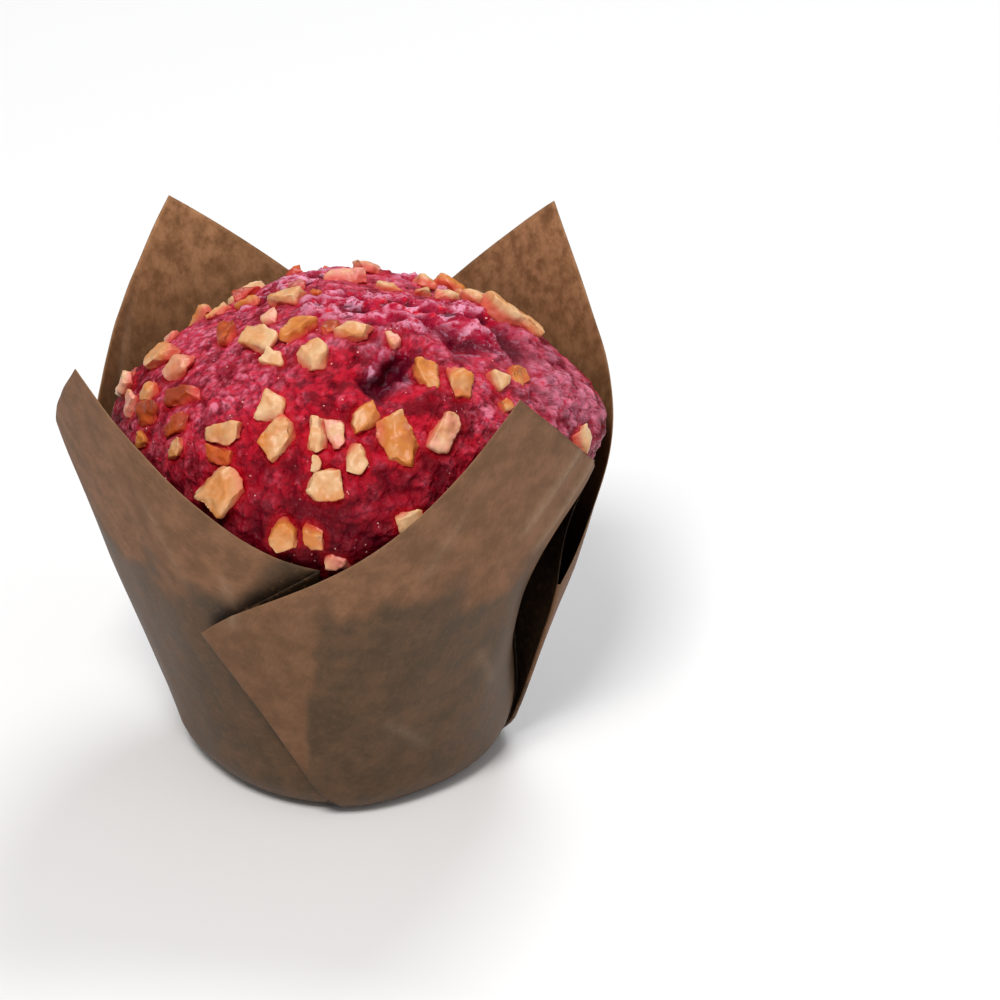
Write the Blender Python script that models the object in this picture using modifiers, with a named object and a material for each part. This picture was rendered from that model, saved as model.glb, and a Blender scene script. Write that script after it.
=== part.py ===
"""A red velvet muffin in a tulip paper case, with chopped nuts baked into its top.

Metres, +Z up. The origin is the middle of the case's flat underside, so the muffin stands on z = 0.
The case is one square sheet of baking paper. Its four corners stand up as petals, and the spare
paper between two petals is folded into a pleat, so that each petal laps over the next one.
The cake fills the case and domes out of it. It is one solid with the nuts that stick out of it.
Turns are in degrees round +Z, counterclockwise from +X.
"""

import math
import random

import bmesh
import bpy
from mathutils import Matrix, Vector, noise
from mathutils.bvhtree import BVHTree

MM = 0.001

# The paper case, as a cup with a flat bottom, a rounded edge and straight walls
PAPER_THICKNESS = 0.35 * MM
LAYER_GAP = 0.2 * MM
BASE_RADIUS = 24.0 * MM
BASE_EDGE_RADIUS = 6.5 * MM
WALL_FLARE = math.radians(16.0)
BASE_SQUARENESS = 0.012

# Its petals, and how far each one's tip rises above PETAL_TOP. A petal's edge runs down from its
# tip to a pleat's crease on either side, and sags below the straight line between the two:
# UNDER_SAG where it goes under the pleat after it, OUTER_SAG where it lies over the one before it.
PETALS = 4
FIRST_PETAL_TURN = 37.0
PETAL_TOP = 78.0 * MM
PETAL_RISE = (4.5 * MM, 0.0, 0.0, -1.0 * MM)
UNDER_SAG = (-1.5 * MM, 3.0 * MM, 5.0 * MM, 2.0 * MM)
OUTER_SAG = (0.0, 1.2 * MM, 6.5 * MM, 0.0)

# Its pleats. Each lies between two creases: an inner one that stands upright, and an outer one
# that slants back over the petal before it. PLEAT_SPREAD is the turn between the two at the rim.
# The outer crease stands PLEAT_LIFT off the wall. Round the inner one the sheet is pushed in, by
# PLEAT_PUSH at PUSH_HEIGHT and over PUSH_WIDTH to either side. PUSH_LEFT of it is left at PUSH_END.
PLEAT_AFTER_PETAL = (48.0, 48.0, 50.0, 48.0)
PLEAT_SPREAD = (26.0, 28.0, 32.0, 18.0)
PLEAT_LIFT = (1.0 * MM, 1.0 * MM, 0.6 * MM, 1.0 * MM)
PLEAT_PUSH = (1.5 * MM, 1.5 * MM, 3.0 * MM, 6.5 * MM)
PUSH_WIDTH = (24.0, 24.0, 23.0, 38.0)
PUSH_START = 6.0 * MM
PUSH_HEIGHT = 33.0 * MM
PUSH_END = 53.0 * MM
PUSH_LEFT = (0.3, 0.3, 0.3, 0.0)
OUTER_CREASE_TOP = 35.0 * MM
INNER_CREASE_TOP = 49.5 * MM

# How far the wall leans out at PETAL_TOP over each petal and each pleat, from the first petal on
LEANS = (-6.0 * MM, 0.0, 1.5 * MM, 1.8 * MM, 0.2 * MM, -1.0 * MM, -0.5 * MM, 1.2 * MM)

# The cake
CAKE_CLEARANCE = 0.5 * MM
CAKE_LEAVES_PAPER = 38.0 * MM
SHOULDER_HEIGHT = 54.0 * MM
DOME_MIDDLE = 2.0 * MM
DOME_RADIUS = 37.8 * MM
DOME_RISE = 24.0 * MM
DOME_FULLNESS = 2.0
DOME_CENTRE = Vector((DOME_MIDDLE, 0.0, SHOULDER_HEIGHT))

# The crust's ridges and swellings, which rise, and its cracks and hollows, which sink: place,
# length, width, turn and rise
CRAGS = (
    (7.5, -21.5, 3.6, 3.0, 60.0, -2.8),
    (10.0, -18.5, 3.2, 2.6, 40.0, -2.0),
    (28.0, -2.5, 6.0, 3.0, 115.0, -2.4),
    (23.0, 4.5, 9.0, 3.2, 138.0, 1.6),
    (8.0, -2.0, 7.0, 3.0, 20.0, 1.0),
    (16.0, -8.0, 6.0, 3.0, 150.0, -1.4),
    (-21.0, 8.0, 12.5, 22.0, 0.0, -3.8),
    (9.0, 14.0, 15.0, 12.0, 0.0, -3.6),
    (39.0, -6.0, 3.5, 9.0, 0.0, 2.0),
)
CRUST_WAVE = 9.0 * MM
CRUST_WAVE_HEIGHT = 0.5 * MM
# They fade in over this share of the dome's rise.
CRUST_FADE = 0.2

# The nuts on the front half of the dome: their turn round the dome and their angle down from its
# top, then their length, their width and their lie, which is 0 level and 90 up the slope
FRONT_NUTS = (
    (-76.0, 67.0, 11.0, 6.0, 110.0),
    (10.0, 50.0, 8.0, 5.0, 80.0),
    (98.0, 39.0, 8.0, 4.2, 0.0),
    (-62.0, 66.0, 8.0, 4.2, 47.0),
    (-119.0, 79.0, 7.6, 6.6, 60.0),
    (-147.0, 65.0, 7.6, 3.6, 33.0),
    (-126.0, 31.0, 7.4, 4.0, 77.0),
    (-178.0, 65.0, 7.0, 5.8, 20.0),
    (-109.0, 66.0, 6.6, 5.6, 60.0),
    (10.0, 58.0, 6.4, 4.8, 70.0),
    (165.0, 26.0, 6.4, 4.8, 90.0),
    (-87.0, 29.0, 6.4, 3.8, 0.0),
    (-50.0, 55.0, 6.4, 4.2, 60.0),
    (-106.0, 41.0, 6.2, 5.4, 100.0),
    (-98.0, 65.0, 6.2, 4.0, 85.0),
    (-140.0, 40.0, 6.0, 5.0, 22.0),
    (-95.0, 76.0, 6.0, 5.2, 10.0),
    (-104.0, 88.0, 6.0, 4.8, 95.0),
    (-124.0, 68.0, 6.0, 4.4, 10.0),
    (-169.0, 47.0, 5.8, 3.6, 149.0),
    (-153.0, 72.0, 5.6, 4.4, 30.0),
    (-59.0, 50.0, 5.6, 4.8, 60.0),
    (-20.0, 82.0, 5.6, 3.6, 90.0),
    (18.0, 45.0, 5.4, 4.0, 80.0),
    (-113.0, 59.0, 5.2, 4.6, 95.0),
    (-140.0, 70.0, 5.2, 3.4, 55.0),
    (-161.0, 61.0, 5.0, 4.6, 70.0),
    (-85.0, 60.0, 5.0, 4.8, 20.0),
    (-76.0, 84.0, 5.0, 4.2, 0.0),
    (-97.0, 88.0, 5.0, 3.6, 85.0),
    (-93.0, 64.0, 5.0, 3.2, 100.0),
    (-123.0, 73.0, 5.0, 3.2, 0.0),
    (-87.0, 70.0, 4.8, 3.6, 80.0),
    (-177.0, 76.0, 4.6, 4.2, 0.0),
    (-162.0, 70.0, 4.6, 4.0, 30.0),
    (32.0, 42.0, 4.6, 3.6, 60.0),
    (-166.0, 75.0, 4.4, 4.0, 0.0),
    (-26.0, 61.0, 4.4, 3.8, 0.0),
    (176.0, 78.0, 4.4, 3.4, 90.0),
    (69.0, 38.0, 4.4, 3.0, 0.0),
    (-36.0, 59.0, 4.2, 3.8, 60.0),
    (-136.0, 75.0, 4.2, 3.2, 90.0),
    (-124.0, 44.0, 4.0, 3.4, 0.0),
    (144.0, 50.0, 4.0, 3.2, 90.0),
    (-92.0, 95.0, 4.0, 3.2, 10.0),
    (-163.0, 31.0, 3.6, 3.0, 0.0),
    (-103.0, 27.0, 3.6, 3.0, 40.0),
    (-65.0, 35.0, 3.6, 2.6, 80.0),
    (-150.0, 78.0, 3.4, 3.0, 0.0),
    (142.0, 19.0, 3.4, 2.4, 60.0),
    (-97.0, 71.0, 3.2, 2.2, 85.0),
    (-39.0, 65.0, 3.0, 2.6, 0.0),
)
NUT_CLEARANCE = 0.6 * MM
NUT_THICKNESS = 0.65
NUT_SUNK = 0.4
NUT_CORNERS = 13
# The hull of a few points on a ball is smaller than the ball.
NUT_FILL = 1.15

# Those on the back half, where y is over BACK_START, lie as they fell. Each has a length and a
# width as a share of it, and keeps apart from its neighbours by a share of both their lengths.
BACK_START = 8.0 * MM
BACK_TRIES = 150
BACK_LENGTH = (3.6 * MM, 7.2 * MM)
BACK_WIDTH = (0.55, 0.9)
BACK_APART = 0.6
BACK_LOWEST = 0.1
NUT_SEED = 5

CAKE_COLOUR = (0.36, 0.012, 0.035, 1.0)
PAPER_COLOUR = (0.13, 0.075, 0.042, 1.0)

# How finely the sheet is divided: from petal to petal, and from its middle to its edge
UNDER_LINES = 7
MIDDLE_LINES = 3
OUTER_LINES = 8
CREASE_WIDTH = 0.8
FLAT_SHARES = (0.0, 0.9, 1.0)
EDGE_STEPS = 3
WALL_STEPS = 7
PLEAT_STARTS = 2.0 * MM
PLEAT_FORMED = 7.0 * MM

# How finely the cake is divided, and where its dome and its sides end on the way down
CAKE_LINES = 64
CAKE_RINGS = 36
DOME_SHARE = 0.6
SIDE_SHARE = 0.92


def smooth(share):
    """0 below 0, 1 above 1, and an even ease between them."""
    share = min(max(share, 0.0), 1.0)
    return share * share * (3.0 - 2.0 * share)


def mix(first, last, share):
    return first + (last - first) * share


def bow(share):
    """0 at both ends and 1 in the middle."""
    return 4.0 * share * (1.0 - share)


def late_bow(share):
    """0 at both ends and 1 two thirds of the way along."""
    return 6.75 * share**2 * (1.0 - share)


def turn_apart(first, last):
    """The turn from the first to the last, between -180 and 180."""
    return (last - first + 180.0) % 360.0 - 180.0


def petal_turn(petal):
    return FIRST_PETAL_TURN + 90.0 * petal


def petal_top(petal):
    return PETAL_TOP + PETAL_RISE[petal % PETALS]


def pleat_turn(pleat):
    """Where the pleat's inner crease stands."""
    return petal_turn(pleat) + PLEAT_AFTER_PETAL[pleat]


def wall_lean(turn):
    """How far the wall leans out at PETAL_TOP."""
    apart = 360.0 / len(LEANS)
    lean = 0.0
    for place, amount in enumerate(LEANS):
        away = abs(turn_apart(FIRST_PETAL_TURN + apart * place, turn))
        lean += amount * (1.0 - smooth(away / apart))
    return lean


def paper_radius(turn, height):
    """From the axis to the middle of the sheet: a square with round corners that opens to a circle."""
    up = height / PETAL_TOP
    corners = math.cos(math.radians(4.0 * (turn - FIRST_PETAL_TURN) - 180.0))
    square = 1.0 + BASE_SQUARENESS * (1.0 - up) * corners
    return (BASE_RADIUS + height * math.tan(WALL_FLARE)) * square + wall_lean(turn) * up


def pleat_push(turn, height):
    """How far the sheet is pushed in round the inner creases."""
    up = smooth((height - PUSH_START) / (PUSH_HEIGHT - PUSH_START))
    over = smooth((height - PUSH_HEIGHT) / (PUSH_END - PUSH_HEIGHT))
    push = 0.0
    for pleat in range(PETALS):
        away = abs(turn_apart(pleat_turn(pleat), turn))
        there = 1.0 - smooth(away / PUSH_WIDTH[pleat])
        push += PLEAT_PUSH[pleat] * up * mix(1.0, PUSH_LEFT[pleat], over) * there
    return push


def paper_point(turn, height, lift):
    """A point of the sheet. Below the wall the sheet rounds off on to the flat bottom.

    There height runs along the rounded edge, from 0 on the flat to BASE_EDGE_RADIUS on the wall.
    """
    radius = paper_radius(turn, max(height, BASE_EDGE_RADIUS))
    if height < BASE_EDGE_RADIUS:
        full = 0.5 * math.pi - WALL_FLARE
        bend = full * height / BASE_EDGE_RADIUS
        radius -= BASE_EDGE_RADIUS * (1.0 - math.sin(bend) / math.sin(full))
        height = BASE_EDGE_RADIUS * (1.0 - math.cos(bend)) / (1.0 - math.cos(full))
    radius += lift
    angle = math.radians(turn)
    return Vector((radius * math.cos(angle), radius * math.sin(angle), 0.5 * PAPER_THICKNESS + height))


def sheet_lines():
    """The sheet's lines from one petal's middle to just before the next, as (layer, share) pairs."""
    lines = [("under", step / UNDER_LINES) for step in range(UNDER_LINES + 1)]
    lines.append(("inner crease", 0.0))
    lines += [("middle", step / MIDDLE_LINES) for step in range(MIDDLE_LINES + 1)]
    lines.append(("outer crease", 0.0))
    lines += [("outer", step / OUTER_LINES) for step in range(OUTER_LINES)]
    return lines


def line_top(petal, layer, share):
    """The height of the sheet's edge on this line."""
    if layer == "under":
        return mix(petal_top(petal), INNER_CREASE_TOP, share) - UNDER_SAG[petal] * bow(share)
    if layer == "inner crease":
        return INNER_CREASE_TOP
    if layer == "middle":
        return mix(INNER_CREASE_TOP, OUTER_CREASE_TOP, share)
    if layer == "outer crease":
        return OUTER_CREASE_TOP
    return mix(OUTER_CREASE_TOP, petal_top(petal + 1), share) - OUTER_SAG[petal] * late_bow(share)


def folded(petal, layer, share, height):
    """The turn and the lift of this line at a height, where the pleat is folded."""
    inner = pleat_turn(petal)
    opened = min(height / OUTER_CREASE_TOP, 1.0)
    outer = inner - PLEAT_SPREAD[petal] * opened
    layer_step = PAPER_THICKNESS + LAYER_GAP
    stand_off = PLEAT_LIFT[petal] * opened
    pushed = pleat_push(inner, height)
    if layer == "under":
        turn = mix(petal_turn(petal), inner - CREASE_WIDTH, share)
        return turn, -pleat_push(turn, height)
    if layer == "inner crease":
        return inner, 0.5 * layer_step - pushed
    if layer == "middle":
        turn = mix(inner - CREASE_WIDTH, outer + CREASE_WIDTH, share)
        return turn, layer_step + mix(-pushed, stand_off, share)
    if layer == "outer crease":
        return outer, 1.5 * layer_step + stand_off
    after = petal_turn(petal + 1)
    turn = mix(outer + CREASE_WIDTH, after, share)
    settled = smooth((turn - inner) / (after - inner))
    return turn, (2.0 * layer_step + stand_off) * (1.0 - settled)


def unfolded(petal, layer, share):
    """The turn of this line on the bottom, where the pleat hasn't begun."""
    inner = pleat_turn(petal)
    crease = 2.0 * CREASE_WIDTH
    if layer == "under":
        return mix(petal_turn(petal), inner - 2.0 * crease, share)
    if layer == "inner crease":
        return inner - 1.5 * crease
    if layer == "middle":
        return mix(inner - crease, inner + crease, share)
    if layer == "outer crease":
        return inner + 1.5 * crease
    return mix(inner + 2.0 * crease, petal_turn(petal + 1), share)


def sheet_point(petal, layer, share, height):
    """The middle of the sheet where this line reaches a height."""
    turn, lift = folded(petal, layer, share, height)
    formed = smooth((height - PLEAT_STARTS) / (PLEAT_FORMED - PLEAT_STARTS))
    turn = mix(unfolded(petal, layer, share), turn, formed)
    return paper_point(turn, height, lift * smooth(height / PLEAT_STARTS))


def line_points(petal, layer, share):
    """A line's points from the middle of the bottom to the sheet's edge."""
    foot = sheet_point(petal, layer, share, 0.0)
    points = [Vector((foot.x * flat, foot.y * flat, foot.z)) for flat in FLAT_SHARES]
    top = line_top(petal, layer, share)
    heights = [BASE_EDGE_RADIUS * step / EDGE_STEPS for step in range(1, EDGE_STEPS + 1)]
    heights += [mix(BASE_EDGE_RADIUS, top, step / WALL_STEPS) for step in range(1, WALL_STEPS + 1)]
    return points + [sheet_point(petal, layer, share, height) for height in heights]


def new_object(name, bm, colour, roughness):
    """An object with a mesh and a material of the same name."""
    mesh = bpy.data.meshes.new(name)
    bm.to_mesh(mesh)
    bm.free()
    made = bpy.data.objects.new(name, mesh)
    material = bpy.data.materials.new(name)
    material.use_nodes = True
    shader = material.node_tree.nodes["Principled BSDF"]
    shader.inputs["Base Color"].default_value = colour
    shader.inputs["Roughness"].default_value = roughness
    mesh.materials.append(material)
    return made


def make_paper_case():
    """A grid is bent into the sheet, and its two ends and its middle are then merged."""
    lines = [line_points(petal, *line) for petal in range(PETALS) for line in sheet_lines()]
    across = len(lines)
    along = len(lines[0]) - 1
    bm = bmesh.new()
    bmesh.ops.create_grid(bm, x_segments=across, y_segments=along, size=0.5)
    for vert in bm.verts:
        line = round((vert.co.x + 0.5) * across) % across
        step = round((vert.co.y + 0.5) * along)
        vert.co = lines[line][step]
    bmesh.ops.remove_doubles(bm, verts=bm.verts, dist=0.001 * MM)
    bmesh.ops.recalc_face_normals(bm, faces=bm.faces)
    case = new_object("paper_case", bm, PAPER_COLOUR, 0.75)
    sheet = case.modifiers.new("Paper", "SOLIDIFY")
    sheet.thickness = PAPER_THICKNESS
    sheet.offset = 0.0
    return case


def side_radius(turn, height):
    """From the axis to the cake's side, which fills the case low down and stands free of it higher up."""
    inside = paper_radius(turn, height) - pleat_push(turn, height) - 0.5 * PAPER_THICKNESS - CAKE_CLEARANCE
    away = math.radians(turn)
    across = DOME_MIDDLE * math.sin(away)
    dome = DOME_MIDDLE * math.cos(away) + math.sqrt(DOME_RADIUS**2 - across**2)
    free = smooth((height - CAKE_LEAVES_PAPER) / (SHOULDER_HEIGHT - CAKE_LEAVES_PAPER))
    return min(inside, mix(inside, dome, free))


def cake_point(turn, share):
    """A point of the bare cake, from the top of its dome at share 0 to the middle of its bottom at 1."""
    floor = PAPER_THICKNESS + CAKE_CLEARANCE
    middle = 0.0
    if share <= DOME_SHARE:
        bend = 0.5 * math.pi * (1.0 - share / DOME_SHARE)
        out = math.cos(bend) ** (2.0 / DOME_FULLNESS)
        radius = side_radius(turn, SHOULDER_HEIGHT) * out
        middle = DOME_MIDDLE * (1.0 - out)
        height = floor + SHOULDER_HEIGHT + (DOME_RISE - floor) * math.sin(bend) ** (2.0 / DOME_FULLNESS)
    elif share <= SIDE_SHARE:
        height = mix(SHOULDER_HEIGHT, BASE_EDGE_RADIUS, (share - DOME_SHARE) / (SIDE_SHARE - DOME_SHARE))
        radius = side_radius(turn, height)
        height += floor
    else:
        under = 2.0 * (share - SIDE_SHARE) / (1.0 - SIDE_SHARE)
        bend = 0.5 * math.pi * min(under, 1.0)
        radius = side_radius(turn, BASE_EDGE_RADIUS) - BASE_EDGE_RADIUS * (1.0 - math.cos(bend))
        radius *= 1.0 - max(under - 1.0, 0.0)
        height = floor + BASE_EDGE_RADIUS * (1.0 - math.sin(bend))
    angle = math.radians(turn)
    return Vector((middle + radius * math.cos(angle), radius * math.sin(angle), height))


def crust_rise(point):
    """How far the crust stands out from the bare dome at a point."""
    rise = CRUST_WAVE_HEIGHT * noise.noise(point / CRUST_WAVE)
    for x, y, length, width, turn, height in CRAGS:
        away = Matrix.Rotation(-math.radians(turn), 2) @ Vector((point.x - x * MM, point.y - y * MM))
        rise += height * MM * math.exp(-((away.x / (length * MM)) ** 2) - (away.y / (width * MM)) ** 2)
    return rise * smooth((point.z - SHOULDER_HEIGHT) / (CRUST_FADE * DOME_RISE))


def make_cake():
    """A sphere's points are moved to the cake's outline, and its dome is then made uneven."""
    bm = bmesh.new()
    bmesh.ops.create_uvsphere(bm, u_segments=CAKE_LINES, v_segments=CAKE_RINGS, radius=1.0)
    for vert in bm.verts:
        turn = math.degrees(math.atan2(vert.co.y, vert.co.x))
        share = math.acos(min(max(vert.co.z, -1.0), 1.0)) / math.pi
        point = cake_point(turn, share)
        vert.co = point + (point - DOME_CENTRE).normalized() * crust_rise(point)
    return bm


def dome_spot(tree, turn, down):
    """The crust's place in this direction from the dome's middle, and how a thing lies on it.

    The lie is a matrix whose columns are level, up the slope and straight out.
    """
    turn = math.radians(turn)
    down = math.radians(down)
    way = Vector((math.sin(down) * math.cos(turn), math.sin(down) * math.sin(turn), math.cos(down)))
    spot, normal, _, _ = tree.ray_cast(DOME_CENTRE + way * 2.0 * DOME_RADIUS, -way)
    level = Vector((-math.sin(turn), math.cos(turn), 0.0))
    level = (level - normal * level.dot(normal)).normalized()
    return spot, Matrix((level, normal.cross(level), normal)).transposed()


def add_nut(bm, chance, spot, lie, length, width, turn):
    """A chopped piece of nut: the hull of a few points on a flattened ball, sunk into the crust."""
    thick = NUT_THICKNESS * width
    lie = lie @ Matrix.Rotation(math.radians(turn), 3, "Z")
    middle = spot + lie.col[2] * thick * (0.5 - NUT_SUNK)
    corners = []
    for _ in range(NUT_CORNERS):
        ball = Vector([chance.gauss(0.0, 1.0) for _ in range(3)]).normalized()
        size = 0.5 * NUT_FILL * Vector((length * ball.x, width * ball.y, thick * ball.z))
        corners.append(bmesh.ops.create_vert(bm, co=middle + lie @ size)["vert"][0])
    hull = bmesh.ops.convex_hull(bm, input=corners)
    bmesh.ops.delete(bm, geom=hull["geom_interior"], context="VERTS")


def clear_of_paper(spot, thick):
    turn = math.degrees(math.atan2(spot.y, spot.x))
    reach = Vector((spot.x, spot.y)).length + thick
    return reach < paper_radius(turn, spot.z) - 0.5 * PAPER_THICKNESS - NUT_CLEARANCE


def nut_places(tree, chance):
    """Where every nut lies, and its size."""
    places = []
    for turn, down, length, width, lie_turn in FRONT_NUTS:
        spot, lie = dome_spot(tree, turn, down)
        places.append((spot, lie, length * MM, width * MM, lie_turn))
    for _ in range(BACK_TRIES):
        turn = chance.uniform(0.0, 180.0)
        down = math.degrees(math.acos(chance.uniform(BACK_LOWEST, 1.0)))
        length = chance.uniform(*BACK_LENGTH)
        width = length * chance.uniform(*BACK_WIDTH)
        lie_turn = chance.uniform(0.0, 180.0)
        spot, lie = dome_spot(tree, turn, down)
        apart = all((spot - other[0]).length > BACK_APART * (length + other[2]) for other in places)
        if spot.y > BACK_START and apart and clear_of_paper(spot, width):
            places.append((spot, lie, length, width, lie_turn))
    return places


def make_muffin(collection):
    """The cake with its nuts, joined into one solid."""
    bm = make_cake()
    tree = BVHTree.FromBMesh(bm)
    muffin = new_object("muffin", bm, CAKE_COLOUR, 0.6)
    collection.objects.link(muffin)
    nuts = bpy.data.collections.new("nuts")
    bpy.context.scene.collection.children.link(nuts)
    chance = random.Random(NUT_SEED)
    for number, place in enumerate(nut_places(tree, chance)):
        nut_bm = bmesh.new()
        add_nut(nut_bm, chance, *place)
        nuts.objects.link(new_object(f"nut_{number}", nut_bm, CAKE_COLOUR, 0.6))
    join = muffin.modifiers.new("Nuts", "BOOLEAN")
    join.operation = "UNION"
    join.operand_type = "COLLECTION"
    join.collection = nuts
    bpy.context.view_layer.update()
    joined = bpy.data.meshes.new_from_object(muffin.evaluated_get(bpy.context.evaluated_depsgraph_get()))
    muffin.modifiers.clear()
    muffin.data = joined
    for nut in list(nuts.objects):
        bpy.data.objects.remove(nut)
    bpy.data.collections.remove(nuts)


def main():
    for leftover in list(bpy.data.objects):
        bpy.data.objects.remove(leftover)
    collection = bpy.data.collections.new("red_velvet_muffin")
    bpy.context.scene.collection.children.link(collection)
    collection.objects.link(make_paper_case())
    make_muffin(collection)


main()
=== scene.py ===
# %% [markdown]
# # A red velvet muffin in a tulip paper case
#
# The muffin is three kinds of thing: a sheet of brown baking paper folded into a cup, a cake that
# rose out of it and cracked, and chopped nuts that were strewn on the batter. Each gets its own
# mesh and its own finish here, at the place where the plain CAD model has it. All lengths are in
# metres, +Z is up, and the muffin stands on z = 0.

# %% Load the plain model
import math
import random

import bmesh
import bpy
from mathutils import Matrix, Vector, noise
from mathutils.bvhtree import BVHTree


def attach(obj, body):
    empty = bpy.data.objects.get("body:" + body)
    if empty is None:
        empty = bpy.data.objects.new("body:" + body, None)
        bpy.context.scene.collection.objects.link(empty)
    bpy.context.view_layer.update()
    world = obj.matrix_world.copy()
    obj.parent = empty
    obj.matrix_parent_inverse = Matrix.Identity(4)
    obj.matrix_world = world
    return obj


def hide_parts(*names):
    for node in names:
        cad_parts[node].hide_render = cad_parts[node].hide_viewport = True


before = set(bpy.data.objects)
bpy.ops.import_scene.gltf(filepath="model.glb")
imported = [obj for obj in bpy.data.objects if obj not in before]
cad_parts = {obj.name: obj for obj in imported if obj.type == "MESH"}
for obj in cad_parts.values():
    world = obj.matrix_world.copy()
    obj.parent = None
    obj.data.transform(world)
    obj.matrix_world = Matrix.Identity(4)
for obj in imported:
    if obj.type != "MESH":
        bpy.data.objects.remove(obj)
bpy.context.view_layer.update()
print("CAD nodes:", ", ".join(sorted(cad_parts)))

# %% [markdown]
# ## A few helpers
#
# Most shapes below are a known form whose points are then moved by a rule. The rules need an even
# ease between two values, a mix of two values, and the turn from one direction to another. Turns
# are in degrees round +Z, counterclockwise from +X.

# %% Eases, mixes and turns
MM = 0.001
# Blender's vector noise starts from the clock, and gives other shapes each time, unless it has a seed
NOISE_SEED = 137
noise.seed_set(NOISE_SEED)


def smooth(share):
    """0 below 0, 1 above 1, and an even ease between them."""
    share = min(max(share, 0.0), 1.0)
    return share * share * (3.0 - 2.0 * share)


def mix(first, last, share):
    return first + (last - first) * share


def turn_apart(first, last):
    """The turn from the first to the last, between -180 and 180."""
    return (last - first + 180.0) % 360.0 - 180.0


def finish_mesh(name, bm, materials):
    """A mesh object at the origin, smooth shaded, with its materials."""
    mesh = bpy.data.meshes.new(name)
    bm.to_mesh(mesh)
    bm.free()
    mesh.shade_smooth()
    for material in materials:
        mesh.materials.append(material)
    made = bpy.data.objects.new(name, mesh)
    bpy.context.scene.collection.objects.link(made)
    print(name, "has", sum(len(face.vertices) - 2 for face in mesh.polygons), "triangles")
    return made


# %% [markdown]
# ## The folded cup
#
# A tulip case is one square of paper, pressed over a round former. Its corners stand up as four
# petals. Between two petals there is too much paper for the cup, so it folds over itself in a
# pleat with two creases, and each petal laps over the one before it. A cloth simulation could find
# such folds, but not the same ones twice. Here the folds are a rule instead: it says for every
# line of the sheet, and every height on it, where the paper is.

# %% The cup's measures
PAPER_THICKNESS = 0.35 * MM
LAYER_GAP = 0.2 * MM
BASE_RADIUS = 24.0 * MM
BASE_EDGE_RADIUS = 6.5 * MM
WALL_FLARE = math.radians(16.0)
BASE_SQUARENESS = 0.012
PETALS = 4
FIRST_PETAL_TURN = 37.0
PETAL_TOP = 78.0 * MM
# A row of four has one value for each petal or each pleat, counterclockwise from the first petal
PETAL_RISE = (4.5 * MM, 0.0, 0.0, -1.0 * MM)
UNDER_SAG = (-1.5 * MM, 3.0 * MM, 5.0 * MM, 2.0 * MM)
OUTER_SAG = (0.0, 1.2 * MM, 6.5 * MM, 0.0)
PLEAT_AFTER_PETAL = (48.0, 48.0, 50.0, 48.0)
PLEAT_SPREAD = (26.0, 28.0, 32.0, 18.0)
PLEAT_LIFT = (1.0 * MM, 1.0 * MM, 0.6 * MM, 1.0 * MM)
PLEAT_PUSH = (1.5 * MM, 1.5 * MM, 3.0 * MM, 6.5 * MM)
PUSH_WIDTH = (24.0, 24.0, 23.0, 38.0)
PUSH_START = 6.0 * MM
PUSH_HEIGHT = 33.0 * MM
PUSH_END = 53.0 * MM
PUSH_LEFT = (0.3, 0.3, 0.3, 0.0)
OUTER_CREASE_TOP = 35.0 * MM
INNER_CREASE_TOP = 49.5 * MM
# How far the top of the wall leans out or in, at eight turns round the cup
LEANS = (-6.0 * MM, 0.0, 1.5 * MM, 1.8 * MM, 0.2 * MM, -1.0 * MM, -0.5 * MM, 1.2 * MM)
CREASE_WIDTH = 0.5
PLEAT_STARTS = 2.0 * MM
PLEAT_FORMED = 7.0 * MM
# Half the turn between a pleat's layers on the flat bottom
BOTTOM_CREASE = 1.6
print("petals' tips in mm:", [round((PETAL_TOP + rise) * 1000, 1) for rise in PETAL_RISE])


# %% Where the cup's wall is
def petal_turn(petal):
    return FIRST_PETAL_TURN + 90.0 * petal


def petal_top(petal):
    return PETAL_TOP + PETAL_RISE[petal % PETALS]


def pleat_turn(pleat):
    """Where the pleat's inner crease stands."""
    return petal_turn(pleat) + PLEAT_AFTER_PETAL[pleat]


def paper_radius(turn, height):
    """From the axis to the middle of the sheet, which is a round-cornered square that opens to a circle."""
    up = height / PETAL_TOP
    corners = math.cos(math.radians(4.0 * (turn - FIRST_PETAL_TURN) - 180.0))
    square = 1.0 + BASE_SQUARENESS * (1.0 - up) * corners
    apart = 360.0 / len(LEANS)
    lean = 0.0
    for place, amount in enumerate(LEANS):
        away = abs(turn_apart(FIRST_PETAL_TURN + apart * place, turn))
        lean += amount * (1.0 - smooth(away / apart))
    return (BASE_RADIUS + height * math.tan(WALL_FLARE)) * square + lean * up


def pleat_push(turn, height):
    """How far the sheet is pushed in round the inner creases."""
    up = smooth((height - PUSH_START) / (PUSH_HEIGHT - PUSH_START))
    over = smooth((height - PUSH_HEIGHT) / (PUSH_END - PUSH_HEIGHT))
    push = 0.0
    for pleat in range(PETALS):
        away = abs(turn_apart(pleat_turn(pleat), turn))
        there = 1.0 - smooth(away / PUSH_WIDTH[pleat])
        push += PLEAT_PUSH[pleat] * up * mix(1.0, PUSH_LEFT[pleat], over) * there
    return push


print("rim radius over the first petal in mm:", round(paper_radius(FIRST_PETAL_TURN, PETAL_TOP) * 1000, 1))


# %% [markdown]
# The sheet itself runs in lines from the middle of the bottom to its edge, and each petal has the
# same lines: the part that goes under the pleat, the inner crease, the middle layer that runs
# back, the outer crease, and the outer layer. A crease is a tight half turn of the paper.

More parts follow.
